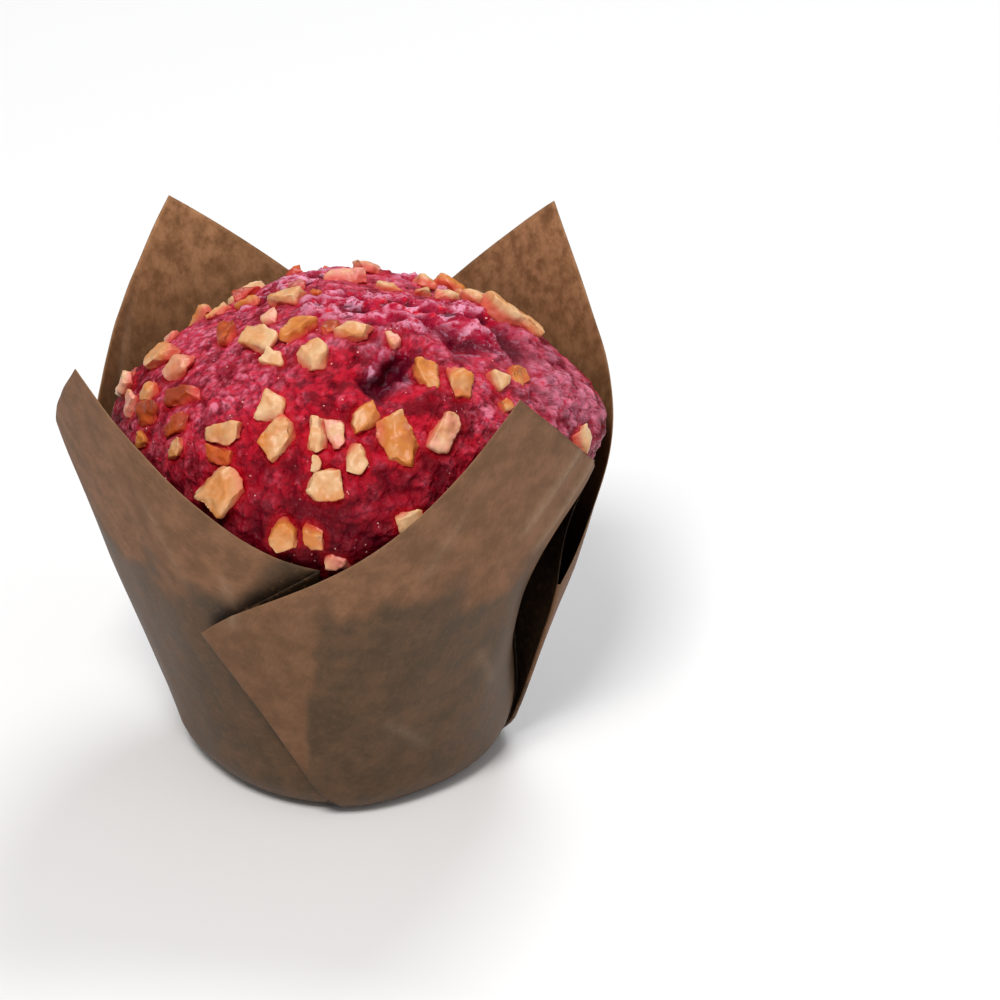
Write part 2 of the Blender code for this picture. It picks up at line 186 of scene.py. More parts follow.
# %% Where each line of the sheet goes
def line_top(petal, layer, share):
    """The height of the sheet's edge on this line. Between tip and crease the edge sags a little."""
    if layer == "under":
        sag = UNDER_SAG[petal] * 4.0 * share * (1.0 - share)
        return mix(petal_top(petal), INNER_CREASE_TOP, share) - sag
    if layer == "inner crease":
        return INNER_CREASE_TOP
    if layer == "middle":
        return mix(INNER_CREASE_TOP, OUTER_CREASE_TOP, share)
    if layer == "outer crease":
        return OUTER_CREASE_TOP
    sag = OUTER_SAG[petal] * 6.75 * share**2 * (1.0 - share)
    return mix(OUTER_CREASE_TOP, petal_top(petal + 1), share) - sag


def folded(petal, layer, share, height):
    """The turn and the lift of this line at a height, where the pleat is folded."""
    inner = pleat_turn(petal)
    opened = min(height / OUTER_CREASE_TOP, 1.0)
    outer = inner - PLEAT_SPREAD[petal] * opened
    layer_step = PAPER_THICKNESS + LAYER_GAP
    stand_off = PLEAT_LIFT[petal] * opened
    pushed = pleat_push(inner, height)
    round_crease = CREASE_WIDTH * math.sin(math.pi * share)
    across_crease = 0.5 - 0.5 * math.cos(math.pi * share)
    if layer == "under":
        turn = mix(petal_turn(petal), inner - CREASE_WIDTH, share)
        return turn, -pleat_push(turn, height)
    if layer == "inner crease":
        return inner - CREASE_WIDTH + round_crease, across_crease * layer_step - pushed
    if layer == "middle":
        turn = mix(inner - CREASE_WIDTH, outer + CREASE_WIDTH, share)
        return turn, layer_step + mix(-pushed, stand_off, share)
    if layer == "outer crease":
        return outer + CREASE_WIDTH - round_crease, (1.0 + across_crease) * layer_step + stand_off
    after = petal_turn(petal + 1)
    turn = mix(outer + CREASE_WIDTH, after, share)
    settled = smooth((turn - inner) / (after - inner))
    return turn, (2.0 * layer_step + stand_off) * (1.0 - settled)


def unfolded(petal, layer, share):
    """The turn of this line on the bottom, where the pleat hasn't begun."""
    inner = pleat_turn(petal)
    if layer == "under":
        return mix(petal_turn(petal), inner - 2.0 * BOTTOM_CREASE, share)
    if layer == "outer":
        return mix(inner + 2.0 * BOTTOM_CREASE, petal_turn(petal + 1), share)
    first, last = {"inner crease": (-2.0, -1.0), "middle": (-1.0, 1.0), "outer crease": (1.0, 2.0)}[layer]
    return inner + BOTTOM_CREASE * mix(first, last, share)


print("height of the last pleat's outer edge, halfway along, in mm:",
      round(line_top(3, "outer", 0.5) * 1000, 1))


# %% [markdown]
# Used paper isn't smooth. It has shallow dents where it was handled, soft flutes where the cup
# was pressed, and a few sharp little creases. They are one more rule: how far the sheet stands in
# or out at a place. All layers of a pleat share it, so they don't cut through each other.

# %% Dents, flutes and creases
DENT_SIZE = 13.0 * MM
DENT_DEPTH = 0.3 * MM
FLUTE_SIZE = 4.0 * MM
FLUTE_DEPTH = 0.12 * MM
FLUTE_STRETCH = 0.25
WRINKLES_FORMED = 12.0 * MM
# Each crease runs from one turn and height to another, in degrees and mm, and stands out by so many mm
CREASES = (
    (-27.0, 64.0, -44.0, 49.0, 0.60),
    (-17.0, 60.0, -37.0, 44.0, 0.60),
    (-60.0, 60.0, -70.0, 46.0, 0.18),
    (-117.0, 47.0, -114.0, 37.0, -0.40),
    (-135.0, 60.0, -128.0, 42.0, 0.20),
    (-78.0, 20.0, -60.0, 12.0, 0.20),
    (-50.0, 30.0, -38.0, 20.0, 0.22),
    (140.0, 66.0, 158.0, 48.0, 0.28),
    (60.0, 64.0, 72.0, 50.0, 0.28),
    (20.0, 58.0, 8.0, 44.0, 0.25),
)
# How far a crease reaches to each side of its line
CREASE_REACH = 1.2 * MM


def creased(turn, height):
    """How far the sharp creases stand out at a place, each along a line that ends softly."""
    rise = 0.0
    around = math.radians(1.0) * paper_radius(turn, height)
    for first_turn, first_height, last_turn, last_height, amount in CREASES:
        along = Vector((turn_apart(first_turn, last_turn) * around, (last_height - first_height) * MM))
        here = Vector((turn_apart(first_turn, turn) * around, height - first_height * MM))
        share = min(max(here.dot(along) / along.length_squared, 0.0), 1.0)
        away = (here - along * share).length / CREASE_REACH
        rise += amount * MM * math.exp(-1.5 * away) * (1.0 - abs(2.0 * share - 1.0) ** 4)
    return rise


def paper_wrinkle(turn, height):
    """How far the sheet stands out of its plain form at a place."""
    angle = math.radians(turn)
    place = Vector((math.cos(angle), math.sin(angle), 0.0)) * paper_radius(turn, height)
    place.z = height
    dents = DENT_DEPTH * noise.noise(place / DENT_SIZE)
    flutes = FLUTE_DEPTH * noise.noise(Vector((place.x, place.y, FLUTE_STRETCH * place.z)) / FLUTE_SIZE)
    return (dents + flutes + creased(turn, height)) * smooth(height / WRINKLES_FORMED)


def paper_point(turn, height, lift):
    """A point of the sheet. Below the wall the sheet rounds off on to the flat bottom.

    There height runs along the rounded edge, from 0 on the flat to BASE_EDGE_RADIUS on the wall.
    """
    lift += paper_wrinkle(turn, height)
    radius = paper_radius(turn, max(height, BASE_EDGE_RADIUS))
    if height < BASE_EDGE_RADIUS:
        full = 0.5 * math.pi - WALL_FLARE
        bend = full * height / BASE_EDGE_RADIUS
        radius -= BASE_EDGE_RADIUS * (1.0 - math.sin(bend) / math.sin(full))
        height = BASE_EDGE_RADIUS * (1.0 - math.cos(bend)) / (1.0 - math.cos(full))
    radius += lift
    angle = math.radians(turn)
    return Vector((radius * math.cos(angle), radius * math.sin(angle), 0.5 * PAPER_THICKNESS + height))


print("sharp creases:", len(CREASES))


# %% A point of the folded sheet
def sheet_point(petal, layer, share, height):
    """The middle of the sheet where this line reaches a height."""
    turn, lift = folded(petal, layer, share, height)
    formed = smooth((height - PLEAT_STARTS) / (PLEAT_FORMED - PLEAT_STARTS))
    turn = mix(unfolded(petal, layer, share), turn, formed)
    return paper_point(turn, height, lift * smooth(height / PLEAT_STARTS))


# %% [markdown]
# ## Bending a grid into the sheet
#
# `create_grid` makes a flat grid with one column per line of the sheet. Each of its points then
# goes to its place on the cup, and its first and last column and its whole first row meet, so
# `remove_doubles` closes them. The grid also keeps what the finish needs. Its UV map is the flat
# sheet before it was folded, so the fibres follow the paper round its folds. And three attributes
# say how the paper looks at each point. The first is where butter from the cake has soaked in and
# made it dark: against the cake, but less in the outer layer of a pleat, and not in the free petals.
# Beside a pleat it reaches higher, and there it is partly painted shade. `worn` is for the sharp
# creases, where broken fibres are paler. The third is painted shade: at the mouths of the pleats,
# where the layers shade each other, the paper is painted nearly black.

# %% The sheet's lines
UNDER_LINES = 34
MIDDLE_LINES = 14
OUTER_LINES = 44
CREASE_LINES = 5
FLAT_STEPS = 8
EDGE_STEPS = 7
WALL_STEPS = 76


def sheet_lines():
    """The sheet's lines from one petal's middle to just before the next, as (layer, share) pairs."""
    creases = [step / CREASE_LINES for step in range(1, CREASE_LINES)]
    lines = [("under", step / UNDER_LINES) for step in range(UNDER_LINES + 1)]
    lines += [("inner crease", share) for share in creases]
    lines += [("middle", step / MIDDLE_LINES) for step in range(MIDDLE_LINES + 1)]
    lines += [("outer crease", share) for share in creases]
    return lines + [("outer", step / OUTER_LINES) for step in range(OUTER_LINES)]


print("each petal has", len(sheet_lines()), "lines of", 1 + FLAT_STEPS + EDGE_STEPS + WALL_STEPS, "points")

# %% Grease, and the painted shade at the mouths of the pleats
# How high the grease has crept, and how much higher beside a pleat, where the cake is near and the extra
# darkening is partly painted shade
GREASE_TOP = 39.0 * MM
GREASE_EDGE = 7.0 * MM
GREASE_AND_SHADE_BESIDE_PLEAT = 13.0 * MM
GREASE_WAVES = (9.0 * MM, 3.0 * MM)
# The dry edge of a pleat: how far short of the inner crease it ends, low down and at its top
DRY_ENDS = (13.0, 3.0)
DRY_FOOT = 9.0 * MM
DRY_GREASE = 0.35
# How far above the middle layer's edge the sheet behind it is painted black as shade, beside each crease
PLEAT_SHADE_REACH = (1.0 * MM, 5.0 * MM)


def grease_and_shade_here(petal, layer, share, height, place):
    """1 where the paper has drunk butter from the cake, and 0 where it is dry. Beside a pleat it reaches
    higher, partly as painted shade.
    """
    waver = noise.noise(place / GREASE_WAVES[0]) + 0.5 * noise.noise(place / GREASE_WAVES[1])
    edge = GREASE_TOP + GREASE_EDGE * waver
    if layer not in ("outer crease", "outer"):
        # Beside a pleat the darkening reaches higher, partly as painted shade
        edge += GREASE_AND_SHADE_BESIDE_PLEAT * (smooth((share - 0.55) / 0.4) if layer == "under" else 1.0)
    low = 1.0 - smooth((height - edge) / GREASE_EDGE)
    if layer not in ("outer crease", "outer"):
        return low
    turn, _ = folded(petal, layer, share, height)
    ends = pleat_turn(petal) - mix(*DRY_ENDS, min(height / OUTER_CREASE_TOP, 1.0)) + 2.5 * waver
    foot = 1.0 - smooth((height - DRY_FOOT) / (0.5 * DRY_FOOT))
    return low * max(smooth((turn - ends) / 3.0), foot, DRY_GREASE)


def pleat_shade_here(petal, layer, share, height):
    """1 where the sheet goes into a pleat and is painted with the shade of the layers, and 0 on its open
    faces.
    """
    if layer in ("outer crease", "outer"):
        return 0.0
    if layer != "under":
        return 1.0
    turn, _ = folded(petal, layer, share, height)
    opened = min(height / OUTER_CREASE_TOP, 1.0)
    across = (pleat_turn(petal) - turn) / (PLEAT_SPREAD[petal] * opened)
    edge = mix(INNER_CREASE_TOP, OUTER_CREASE_TOP, across)
    reach = mix(*PLEAT_SHADE_REACH, smooth(across / 0.35))
    covered = (1.0 - smooth((across - 0.85) / 0.15)) * smooth(height / PLEAT_FORMED - 1.0)
    return (1.0 - smooth((height - edge) / reach)) * covered


print("tucked beside pleat 0:", [round(pleat_shade_here(0, "under", step / 8, 42.0 * MM), 2) for step in range(9)])

# %% Make the sheet
SHEET_THICKNESS = 0.14 * MM
# The rise of a crease that has broken the paper's fibres until they are white
WORN_WHITE = 0.45 * MM


def make_line(petal, layer, share):
    """A line's points from the middle of the bottom to the sheet's edge, and the three looks of each."""
    foot = sheet_point(petal, layer, share, 0.0)
    points = [Vector((foot.x * step / FLAT_STEPS, foot.y * step / FLAT_STEPS, foot.z))
              for step in range(FLAT_STEPS + 1)]
    looks = [(1.0, 0.0, 0.0)] * len(points)
    top = line_top(petal, layer, share)
    heights = [BASE_EDGE_RADIUS * step / EDGE_STEPS for step in range(1, EDGE_STEPS + 1)]
    heights += [mix(BASE_EDGE_RADIUS, top, step / WALL_STEPS) for step in range(1, WALL_STEPS + 1)]
    for height in heights:
        point = sheet_point(petal, layer, share, height)
        turn = math.degrees(math.atan2(point.y, point.x))
        wear = min(abs(creased(turn, height)) / WORN_WHITE, 1.0)
        points.append(point)
        grease_and_shade = grease_and_shade_here(petal, layer, share, height, point)
        looks.append((grease_and_shade, wear, pleat_shade_here(petal, layer, share, height)))
    return points, looks


def make_sheet():
    """The folded sheet: a flat grid whose points have gone to their places on the cup."""
    lines = [make_line(petal, *line) for petal in range(PETALS) for line in sheet_lines()]
    across = len(lines)
    along = len(lines[0][0]) - 1
    bm = bmesh.new()
    bmesh.ops.create_grid(bm, x_segments=across, y_segments=along, size=0.5)
    flat_sheet = bm.loops.layers.uv.new("flat_sheet")
    grease_and_pleat_shade = bm.verts.layers.float.new("grease_and_pleat_shade")
    worn = bm.verts.layers.float.new("worn")
    pleat_shade = bm.verts.layers.float.new("pleat_shade")
    for loop in (loop for face in bm.faces for loop in face.loops):
        turn = 2.0 * math.pi * (loop.vert.co.x + 0.5)
        out = loop.vert.co.y + 0.5
        loop[flat_sheet].uv = (0.5 + 0.5 * out * math.cos(turn), 0.5 + 0.5 * out * math.sin(turn))
    for vert in bm.verts:
        points, looks = lines[round((vert.co.x + 0.5) * across) % across]
        step = round((vert.co.y + 0.5) * along)
        vert[grease_and_pleat_shade], vert[worn], vert[pleat_shade] = looks[step]
        vert.co = points[step]
    bmesh.ops.remove_doubles(bm, verts=bm.verts, dist=0.0005 * MM)
    bmesh.ops.recalc_face_normals(bm, faces=bm.faces)
    return bm


sheet_bm = make_sheet()
print("the sheet has", len(sheet_bm.faces), "faces")


# %% [markdown]
# ## The cake's outline
#
# The batter filled the cup, and rose out of it as a dome that is flatter than half a ball. A sphere
# would waste most of its points inside the paper and pinch at its top. So a square grid is
# rounded into a disc and draped over the outline like a cloth: the disc's middle is the top of the
# dome, and its rim is drawn together under the cake.

# %% The cake's measures
CAKE_CLEARANCE = 0.5 * MM
CAKE_LEAVES_PAPER = 38.0 * MM
SHOULDER_HEIGHT = 54.0 * MM
DOME_MIDDLE = 2.0 * MM
DOME_RADIUS = 37.8 * MM
DOME_RISE = 24.0 * MM
DOME_FULLNESS = 2.0
DOME_CENTRE = Vector((DOME_MIDDLE, 0.0, SHOULDER_HEIGHT))
CAKE_LINES = 300
# The share of the disc's radius that lies over the dome, and over the dome and the sides.
DOME_SHARE = 0.84
SIDE_SHARE = 0.96
print("the dome is", round(2000 * DOME_RADIUS, 1), "mm wide and rises", round(1000 * DOME_RISE, 1), "mm")

# %% The outline and the draped grid
def side_radius(turn, height):
    """From the axis to the cake's side, which fills the case low down and stands free of it higher up."""
    inside = paper_radius(turn, height) - pleat_push(turn, height) - 0.5 * PAPER_THICKNESS - CAKE_CLEARANCE
    away = math.radians(turn)
    across = DOME_MIDDLE * math.sin(away)
    dome = DOME_MIDDLE * math.cos(away) + math.sqrt(DOME_RADIUS**2 - across**2)
    free = smooth((height - CAKE_LEAVES_PAPER) / (SHOULDER_HEIGHT - CAKE_LEAVES_PAPER))
    return min(inside, mix(inside, dome, free))


def cake_point(turn, share):
    """A point of the bare cake, from the top of its dome at share 0 to the middle of its bottom at 1."""
    floor = PAPER_THICKNESS + CAKE_CLEARANCE
    middle = 0.0
    if share <= DOME_SHARE:
        bend = 0.5 * math.pi * (1.0 - share / DOME_SHARE)
        out = math.cos(bend) ** (2.0 / DOME_FULLNESS)
        radius = side_radius(turn, SHOULDER_HEIGHT) * out
        middle = DOME_MIDDLE * (1.0 - out)
        height = floor + SHOULDER_HEIGHT + (DOME_RISE - floor) * math.sin(bend) ** (2.0 / DOME_FULLNESS)
    elif share <= SIDE_SHARE:
        down = ((share - DOME_SHARE) / (SIDE_SHARE - DOME_SHARE)) ** 1.5
        height = mix(SHOULDER_HEIGHT, BASE_EDGE_RADIUS, down)
        radius = side_radius(turn, height)
        height += floor
    else:
        under = 2.0 * (share - SIDE_SHARE) / (1.0 - SIDE_SHARE)
        bend = 0.5 * math.pi * min(under, 1.0)
        radius = side_radius(turn, BASE_EDGE_RADIUS) - BASE_EDGE_RADIUS * (1.0 - math.cos(bend))
        radius *= 1.0 - max(under - 1.0, 0.0)
        height = floor + BASE_EDGE_RADIUS * (1.0 - math.sin(bend))
    angle = math.radians(turn)
    return Vector((middle + radius * math.cos(angle), radius * math.sin(angle), height))


def disc_place(x, y):
    """The turn and the share of the radius at which a point of the square lies on the disc."""
    if abs(x) >= abs(y):
        turn = (0.0 if x > 0.0 else 180.0) + 45.0 * y / (x or 1.0)
    else:
        turn = (90.0 if y > 0.0 else 270.0) - 45.0 * x / y
    return turn, max(abs(x), abs(y))


print("the bare cake's top in mm:", round(cake_point(0.0, 0.0).z * 1000, 1))

# %% [markdown]
# ## The crust
#
# The crust of this cake has three looks. Much of it is a dry skin with a net of fine cracks. Over
# the top the dome tore open as it rose, and shows ragged crumb with ridges and pits. Low down, near
# the paper, and on the right it stayed lumpy. Each look is a patch with soft, wavering edges, and a
# rule for how far it stands in or out. Sculpting would give the same relief by hand, but a rule can
# be read and changed.
#
# The big forms come first. Each is a soft mound or pit, a row with its place, length, width and
# turn as seen from above, and its rise, in mm and degrees.

# %% Swellings, crags and folds
# The dome's broad swellings and hollows
SWELLINGS = (
    (-21.0, 8.0, 12.5, 22.0, 0.0, -3.8),
    (9.0, 14.0, 15.0, 12.0, 0.0, -3.6),
    (39.0, -6.0, 3.5, 9.0, 0.0, 2.0),
)
# The crust's ridges and cracks
CRAGS = (
    (7.5, -21.5, 3.6, 3.0, 60.0, -2.8),
    (10.0, -18.5, 3.2, 2.6, 40.0, -2.0),
    (28.0, -2.5, 6.0, 3.0, 115.0, -2.4),
    (23.0, 4.5, 9.0, 3.2, 138.0, 1.6),
    (8.0, -2.0, 7.0, 3.0, 20.0, 1.0),
    (16.0, -8.0, 6.0, 3.0, 150.0, -1.4),
)
# Smaller ones, which only the finished crust has
FOLDS = (
    (7.2, -22.0, 2.0, 1.6, 60.0, -2.0),
    (9.5, -18.0, 1.8, 1.2, 50.0, -1.6),
    (3.5, -17.5, 4.0, 1.3, 35.0, -0.9),
    (13.5, -15.5, 5.0, 1.2, 15.0, -1.0),
    (20.0, -13.5, 4.0, 1.2, -25.0, -0.9),
    (25.5, -9.0, 5.0, 1.3, -60.0, -1.2),
    (30.5, -12.5, 4.0, 1.3, -70.0, -1.0),
    (-2.0, -6.5, 5.0, 1.4, 30.0, -0.9),
    (2.5, 1.5, 6.0, 1.3, 5.0, -0.9),
    (14.0, 1.0, 7.0, 1.4, -8.0, -1.1),
    (12.0, -11.5, 5.0, 1.8, -10.0, 1.0),
    (19.5, -4.0, 5.0, 1.6, -30.0, 1.1),
    (5.0, -11.0, 5.0, 2.0, 10.0, 0.9),
    (3.0, -26.0, 4.0, 1.6, -15.0, 0.6),
    (14.0, -22.0, 3.5, 2.4, 20.0, 0.9),
    (33.0, -9.0, 2.2, 4.0, 0.0, 1.0),
    (26.0, -3.5, 7.5, 1.7, 115.0, -1.6),
    (20.0, -9.0, 5.0, 1.3, 150.0, -1.2),
    (5.2, -23.5, 2.6, 1.0, -40.0, -1.5),
    (11.5, -20.0, 2.2, 1.0, 20.0, -1.3),
    (36.0, -14.0, 4.0, 1.2, 70.0, -1.2),
    (5.8, -20.0, 1.2, 0.9, 20.0, 1.1),
    (9.8, -21.8, 1.3, 0.9, -30.0, 1.2),
    (8.6, -17.4, 1.1, 0.8, 40.0, 0.9),
    (12.6, -18.6, 1.2, 0.9, 0.0, 0.9),
)
CRUST_WAVE = 9.0 * MM
CRUST_WAVE_HEIGHT = 0.5 * MM
# How far the folds' lines waver, and the size of the waves
FOLD_WAVER = 1.2 * MM
FOLD_WAVE = 3.0 * MM
# A fold of this depth gets the darkest painted shade that a crack can have
DEEP_FOLD = 2.6 * MM


def stands_out(point, rows):
    """The rise of all rows at a point: each is a soft mound, or a soft hollow where its rise is negative."""
    total = 0.0
    for x, y, length, width, turn, height in rows:
        away = Matrix.Rotation(-math.radians(turn), 2) @ Vector((point.x - x * MM, point.y - y * MM))
        total += height * MM * math.exp(-((away.x / (length * MM)) ** 2) - (away.y / (width * MM)) ** 2)
    return total


def crags(point):
    """How far the crust's big forms stand out, and 0 to 1 how deep its cracks are there."""
    wave = CRUST_WAVE_HEIGHT * noise.noise(point / CRUST_WAVE)
    small = stands_out(point, CRAGS)
    small += stands_out(point + FOLD_WAVER * noise.noise_vector(point / FOLD_WAVE), FOLDS)
    fade = smooth((point.z - SHOULDER_HEIGHT) / (0.2 * DOME_RISE))
    return (wave + stands_out(point, SWELLINGS) + small) * fade, smooth(-small / DEEP_FOLD) * fade


print("forms of the crust:", len(SWELLINGS), "swellings,", len(CRAGS), "crags and", len(FOLDS), "folds")

# %% [markdown]
# The patches are ellipses seen from above, with a place, length, width and turn. Noise shifts each
# point a little before it is tested, and that makes their edges waver.

# %% Patches
TORN_PATCHES = (
    (11.0, -2.0, 18.0, 9.5, -8.0),
    (8.0, -19.0, 4.5, 3.5, 60.0),
    (-9.0, 17.0, 11.0, 6.0, 35.0),
    (14.0, 24.0, 7.0, 5.0, -30.0),
)
LUMPY_PATCHES = (
    (31.0, -7.0, 8.0, 11.0, 10.0),
    (2.0, -12.0, 6.0, 4.0, -20.0),
)
DRY_PATCHES = (
    (-17.0, -9.0, 19.0, 17.0, 20.0),
    (25.0, -17.0, 9.0, 7.0, 30.0),
    (-20.0, 14.0, 18.0, 14.0, -40.0),
    (8.0, 14.0, 17.0, 10.0, 0.0),
    (18.0, -13.5, 8.0, 3.5, -10.0),
)
PATCH_WAVER = 2.5 * MM
PATCH_WAVE = 5.0 * MM


def in_patches(point, patches):
    """1 well inside one of the patches, 0 outside all of them, with wavering edges."""
    point = point + PATCH_WAVER * noise.noise_vector(point / PATCH_WAVE)
    most = 0.0
    for x, y, length, width, turn in patches:
        away = Matrix.Rotation(-math.radians(turn), 2) @ Vector((point.x - x * MM, point.y - y * MM))
        out = math.hypot(away.x / (length * MM), away.y / (width * MM))
        most = max(most, smooth((1.25 - out) / 0.5))
    return most


top_of_dome = Vector((0.0, 0.0, SHOULDER_HEIGHT + DOME_RISE))
print("dry skin at the top of the dome:", round(in_patches(top_of_dome, DRY_PATCHES), 2))

# %% [markdown]
# Each kind of crust has a fine relief of its own, made of noise. Ridged noise tears the crumb,
# because it has sharp crests. Cell noise draws the skin's net of cracks, along the borders where two
# cells are equally near, and heaps up the lumps, which are highest in the middle of a cell.

# %% Torn crumb, cracked skin and lumps
TORN_SIZE = 6.0 * MM
TORN_HEIGHT = 2.0 * MM
CRACK_SIZE = 2.6 * MM
CRACK_DEPTH = 0.3 * MM
LUMP_SIZE = 2.8 * MM
LUMP_HEIGHT = 1.35 * MM
ROUGH_SIZE = 1.5 * MM
ROUGH_HEIGHT = 0.38 * MM


def torn_relief(point):
    """Ridges and pits of torn crumb, about -1 to 1."""
    warped = point / TORN_SIZE + 0.3 * noise.noise_vector(point / (0.5 * TORN_SIZE))
    return noise.ridged_multi_fractal(warped, 1.0, 2.2, 3, 1.0, 2.0) - 1.1


def crack_relief(point):
    """1 in a crack of the skin's net and 0 between the cracks."""
    warped = point / CRACK_SIZE + 0.5 * noise.noise_vector(point / (0.6 * CRACK_SIZE))
    near, second = noise.voronoi(warped)[0][:2]
    return 1.0 - smooth((second - near) / 0.12)


def lump_relief(point):
    """1 on top of a lump and 0 in the furrows between the lumps."""
    warped = point / LUMP_SIZE + 0.3 * noise.noise_vector(point / (0.8 * LUMP_SIZE))
    return 1.0 - min(noise.voronoi(warped)[0][0], 1.0) ** 2


print("relief at the top of the dome:", [round(relief(top_of_dome), 2)
                                         for relief in (torn_relief, crack_relief, lump_relief)])

# %% [markdown]
# At each point the rules are added up to one rise, each as strong as its patch is there. The same
# numbers say how the point looks, so colour and relief can't drift apart. `torn`, `dry` and `low`
# are the three kinds of crust. The fourth look is painted shade, 1 in furrows, cracks and down
# beside the paper, and the fifth is a painted highlight, 1 on ridges of torn crumb and weaker on
# the tops of lumps.

# %% One rule for the crust
# The fine relief starts at this height, and is at its full strength after the next length
RELIEF_FROM = 40.0 * MM
RELIEF_FADE = 14.0 * MM
# The low crust reaches up to here, and fades out over the next length
LOW_FROM = 50.0 * MM
LOW_FADE = 20.0 * MM
# Up to here, between the paper and the cake, the crust is painted nearly black-red as shade, and this fades
# out too
SHADED_FROM = 40.0 * MM
SHADED_FADE = 15.0 * MM


def dryness(point, torn, low, lump, lumps):
    """The dry skin, which is pink also on top of each lump."""
    dry = in_patches(point, DRY_PATCHES) * (1.0 - torn) * (1.0 - 0.8 * low)
    return max(dry * (1.0 - lumps), lumps * smooth((lump - 0.1) / 0.35))


def crust(point):
    """How far the crust stands out at a point of the bare cake, and its five looks there."""
    torn = in_patches(point, TORN_PATCHES)
    low = 1.0 - smooth((point.z - LOW_FROM) / LOW_FADE)
    lump = lump_relief(point)
    lumps = in_patches(point, LUMPY_PATCHES) * (1.0 - torn)
    dry = dryness(point, torn, low, lump, lumps)
    crack = crack_relief(point) * (1.0 - torn)
    ragged = torn_relief(point)
    free = smooth((point.z - RELIEF_FROM) / RELIEF_FADE)
    lumpy = max(mix(0.7, 1.0, low) * (1.0 - 0.85 * dry), lumps)
    rough = noise.fractal(point / ROUGH_SIZE, 0.8, 2.1, 3)
    fine = TORN_HEIGHT * torn * (ragged - 0.1)
    fine -= CRACK_DEPTH * crack * (1.0 - 0.6 * low)
    fine += LUMP_HEIGHT * (lump - 0.7) * lumpy * (1.0 - torn)
    fine += ROUGH_HEIGHT * rough * mix(1.0, 0.35, dry)
    big, deep = crags(point)
    shaded = 1.0 - smooth((point.z - SHADED_FROM) / SHADED_FADE)
    # Painted shade: furrows, pits of torn crumb, cracks, deep folds and the crust beside the paper
    pit_shade = max(torn * smooth(-2.0 * ragged), (1.0 - lump) * lumpy * (1.0 - torn), 0.7 * crack, deep, shaded)
    # Painted highlight: the crests of torn crumb, and weaker on the tops of lumps
    ridge_highlight = max(torn * smooth((ragged + 0.05) / 0.35), 0.45 * lumps * smooth((lump - 0.5) / 0.25))
    dry = max(dry, 0.4 * smooth((lump - 0.7) / 0.2) * (1.0 - low) * (1.0 - torn))
    looks = {"torn": torn, "dry": dry, "low": low, "pit_shade": pit_shade, "crest_highlight": ridge_highlight * (1.0 - deep)}
    return big + fine * free, looks


print("looks at the top of the dome:", {name: round(look, 2) for name, look in crust(top_of_dome)[1].items()})

# %% Drape the grid over the cake
CRUST_LOOKS = ("torn", "dry", "low", "pit_shade", "crest_highlight", "wet")


def soften(bm, verts):
    """Moves each point halfway to the middle of its neighbours."""
    bmesh.ops.smooth_vert(bm, verts=verts, factor=0.5, use_axis_x=True, use_axis_y=True, use_axis_z=True)


def make_cake():
    """The draped grid with the crust's relief, and its looks as attributes."""
    bm = bmesh.new()
    bmesh.ops.create_grid(bm, x_segments=CAKE_LINES, y_segments=CAKE_LINES, size=1.0)
    looks = {name: bm.verts.layers.float.new(name) for name in CRUST_LOOKS}
    for vert in bm.verts:
        turn, share = disc_place(vert.co.x, vert.co.y)
        point = cake_point(turn, share)
        rise, here = crust(point)
        for name, amount in here.items():
            vert[looks[name]] = amount
        vert.co = point + (point - DOME_CENTRE).normalized() * rise
    bmesh.ops.remove_doubles(bm, verts=bm.verts, dist=0.002 * MM)
    ragged = [vert for vert in bm.verts if vert[looks["torn"]] > 0.5]
    soften(bm, ragged)
    bmesh.ops.recalc_face_normals(bm, faces=bm.faces)
    return bm


cake_bm = make_cake()
cake_tree = BVHTree.FromBMesh(cake_bm)
print("the top of the dome is", round(max(vert.co.z for vert in cake_bm.verts) * 1000, 1), "mm up")

# %% [markdown]
# ## Where the nuts lie
#
# The nuts on the front half are set one by one, each by its turn round the dome and its angle down
# from the top. The ones on the back half are strewn by chance, but never on top of each other or
# into the paper. The chance starts from a fixed seed, so it falls the same way each time.

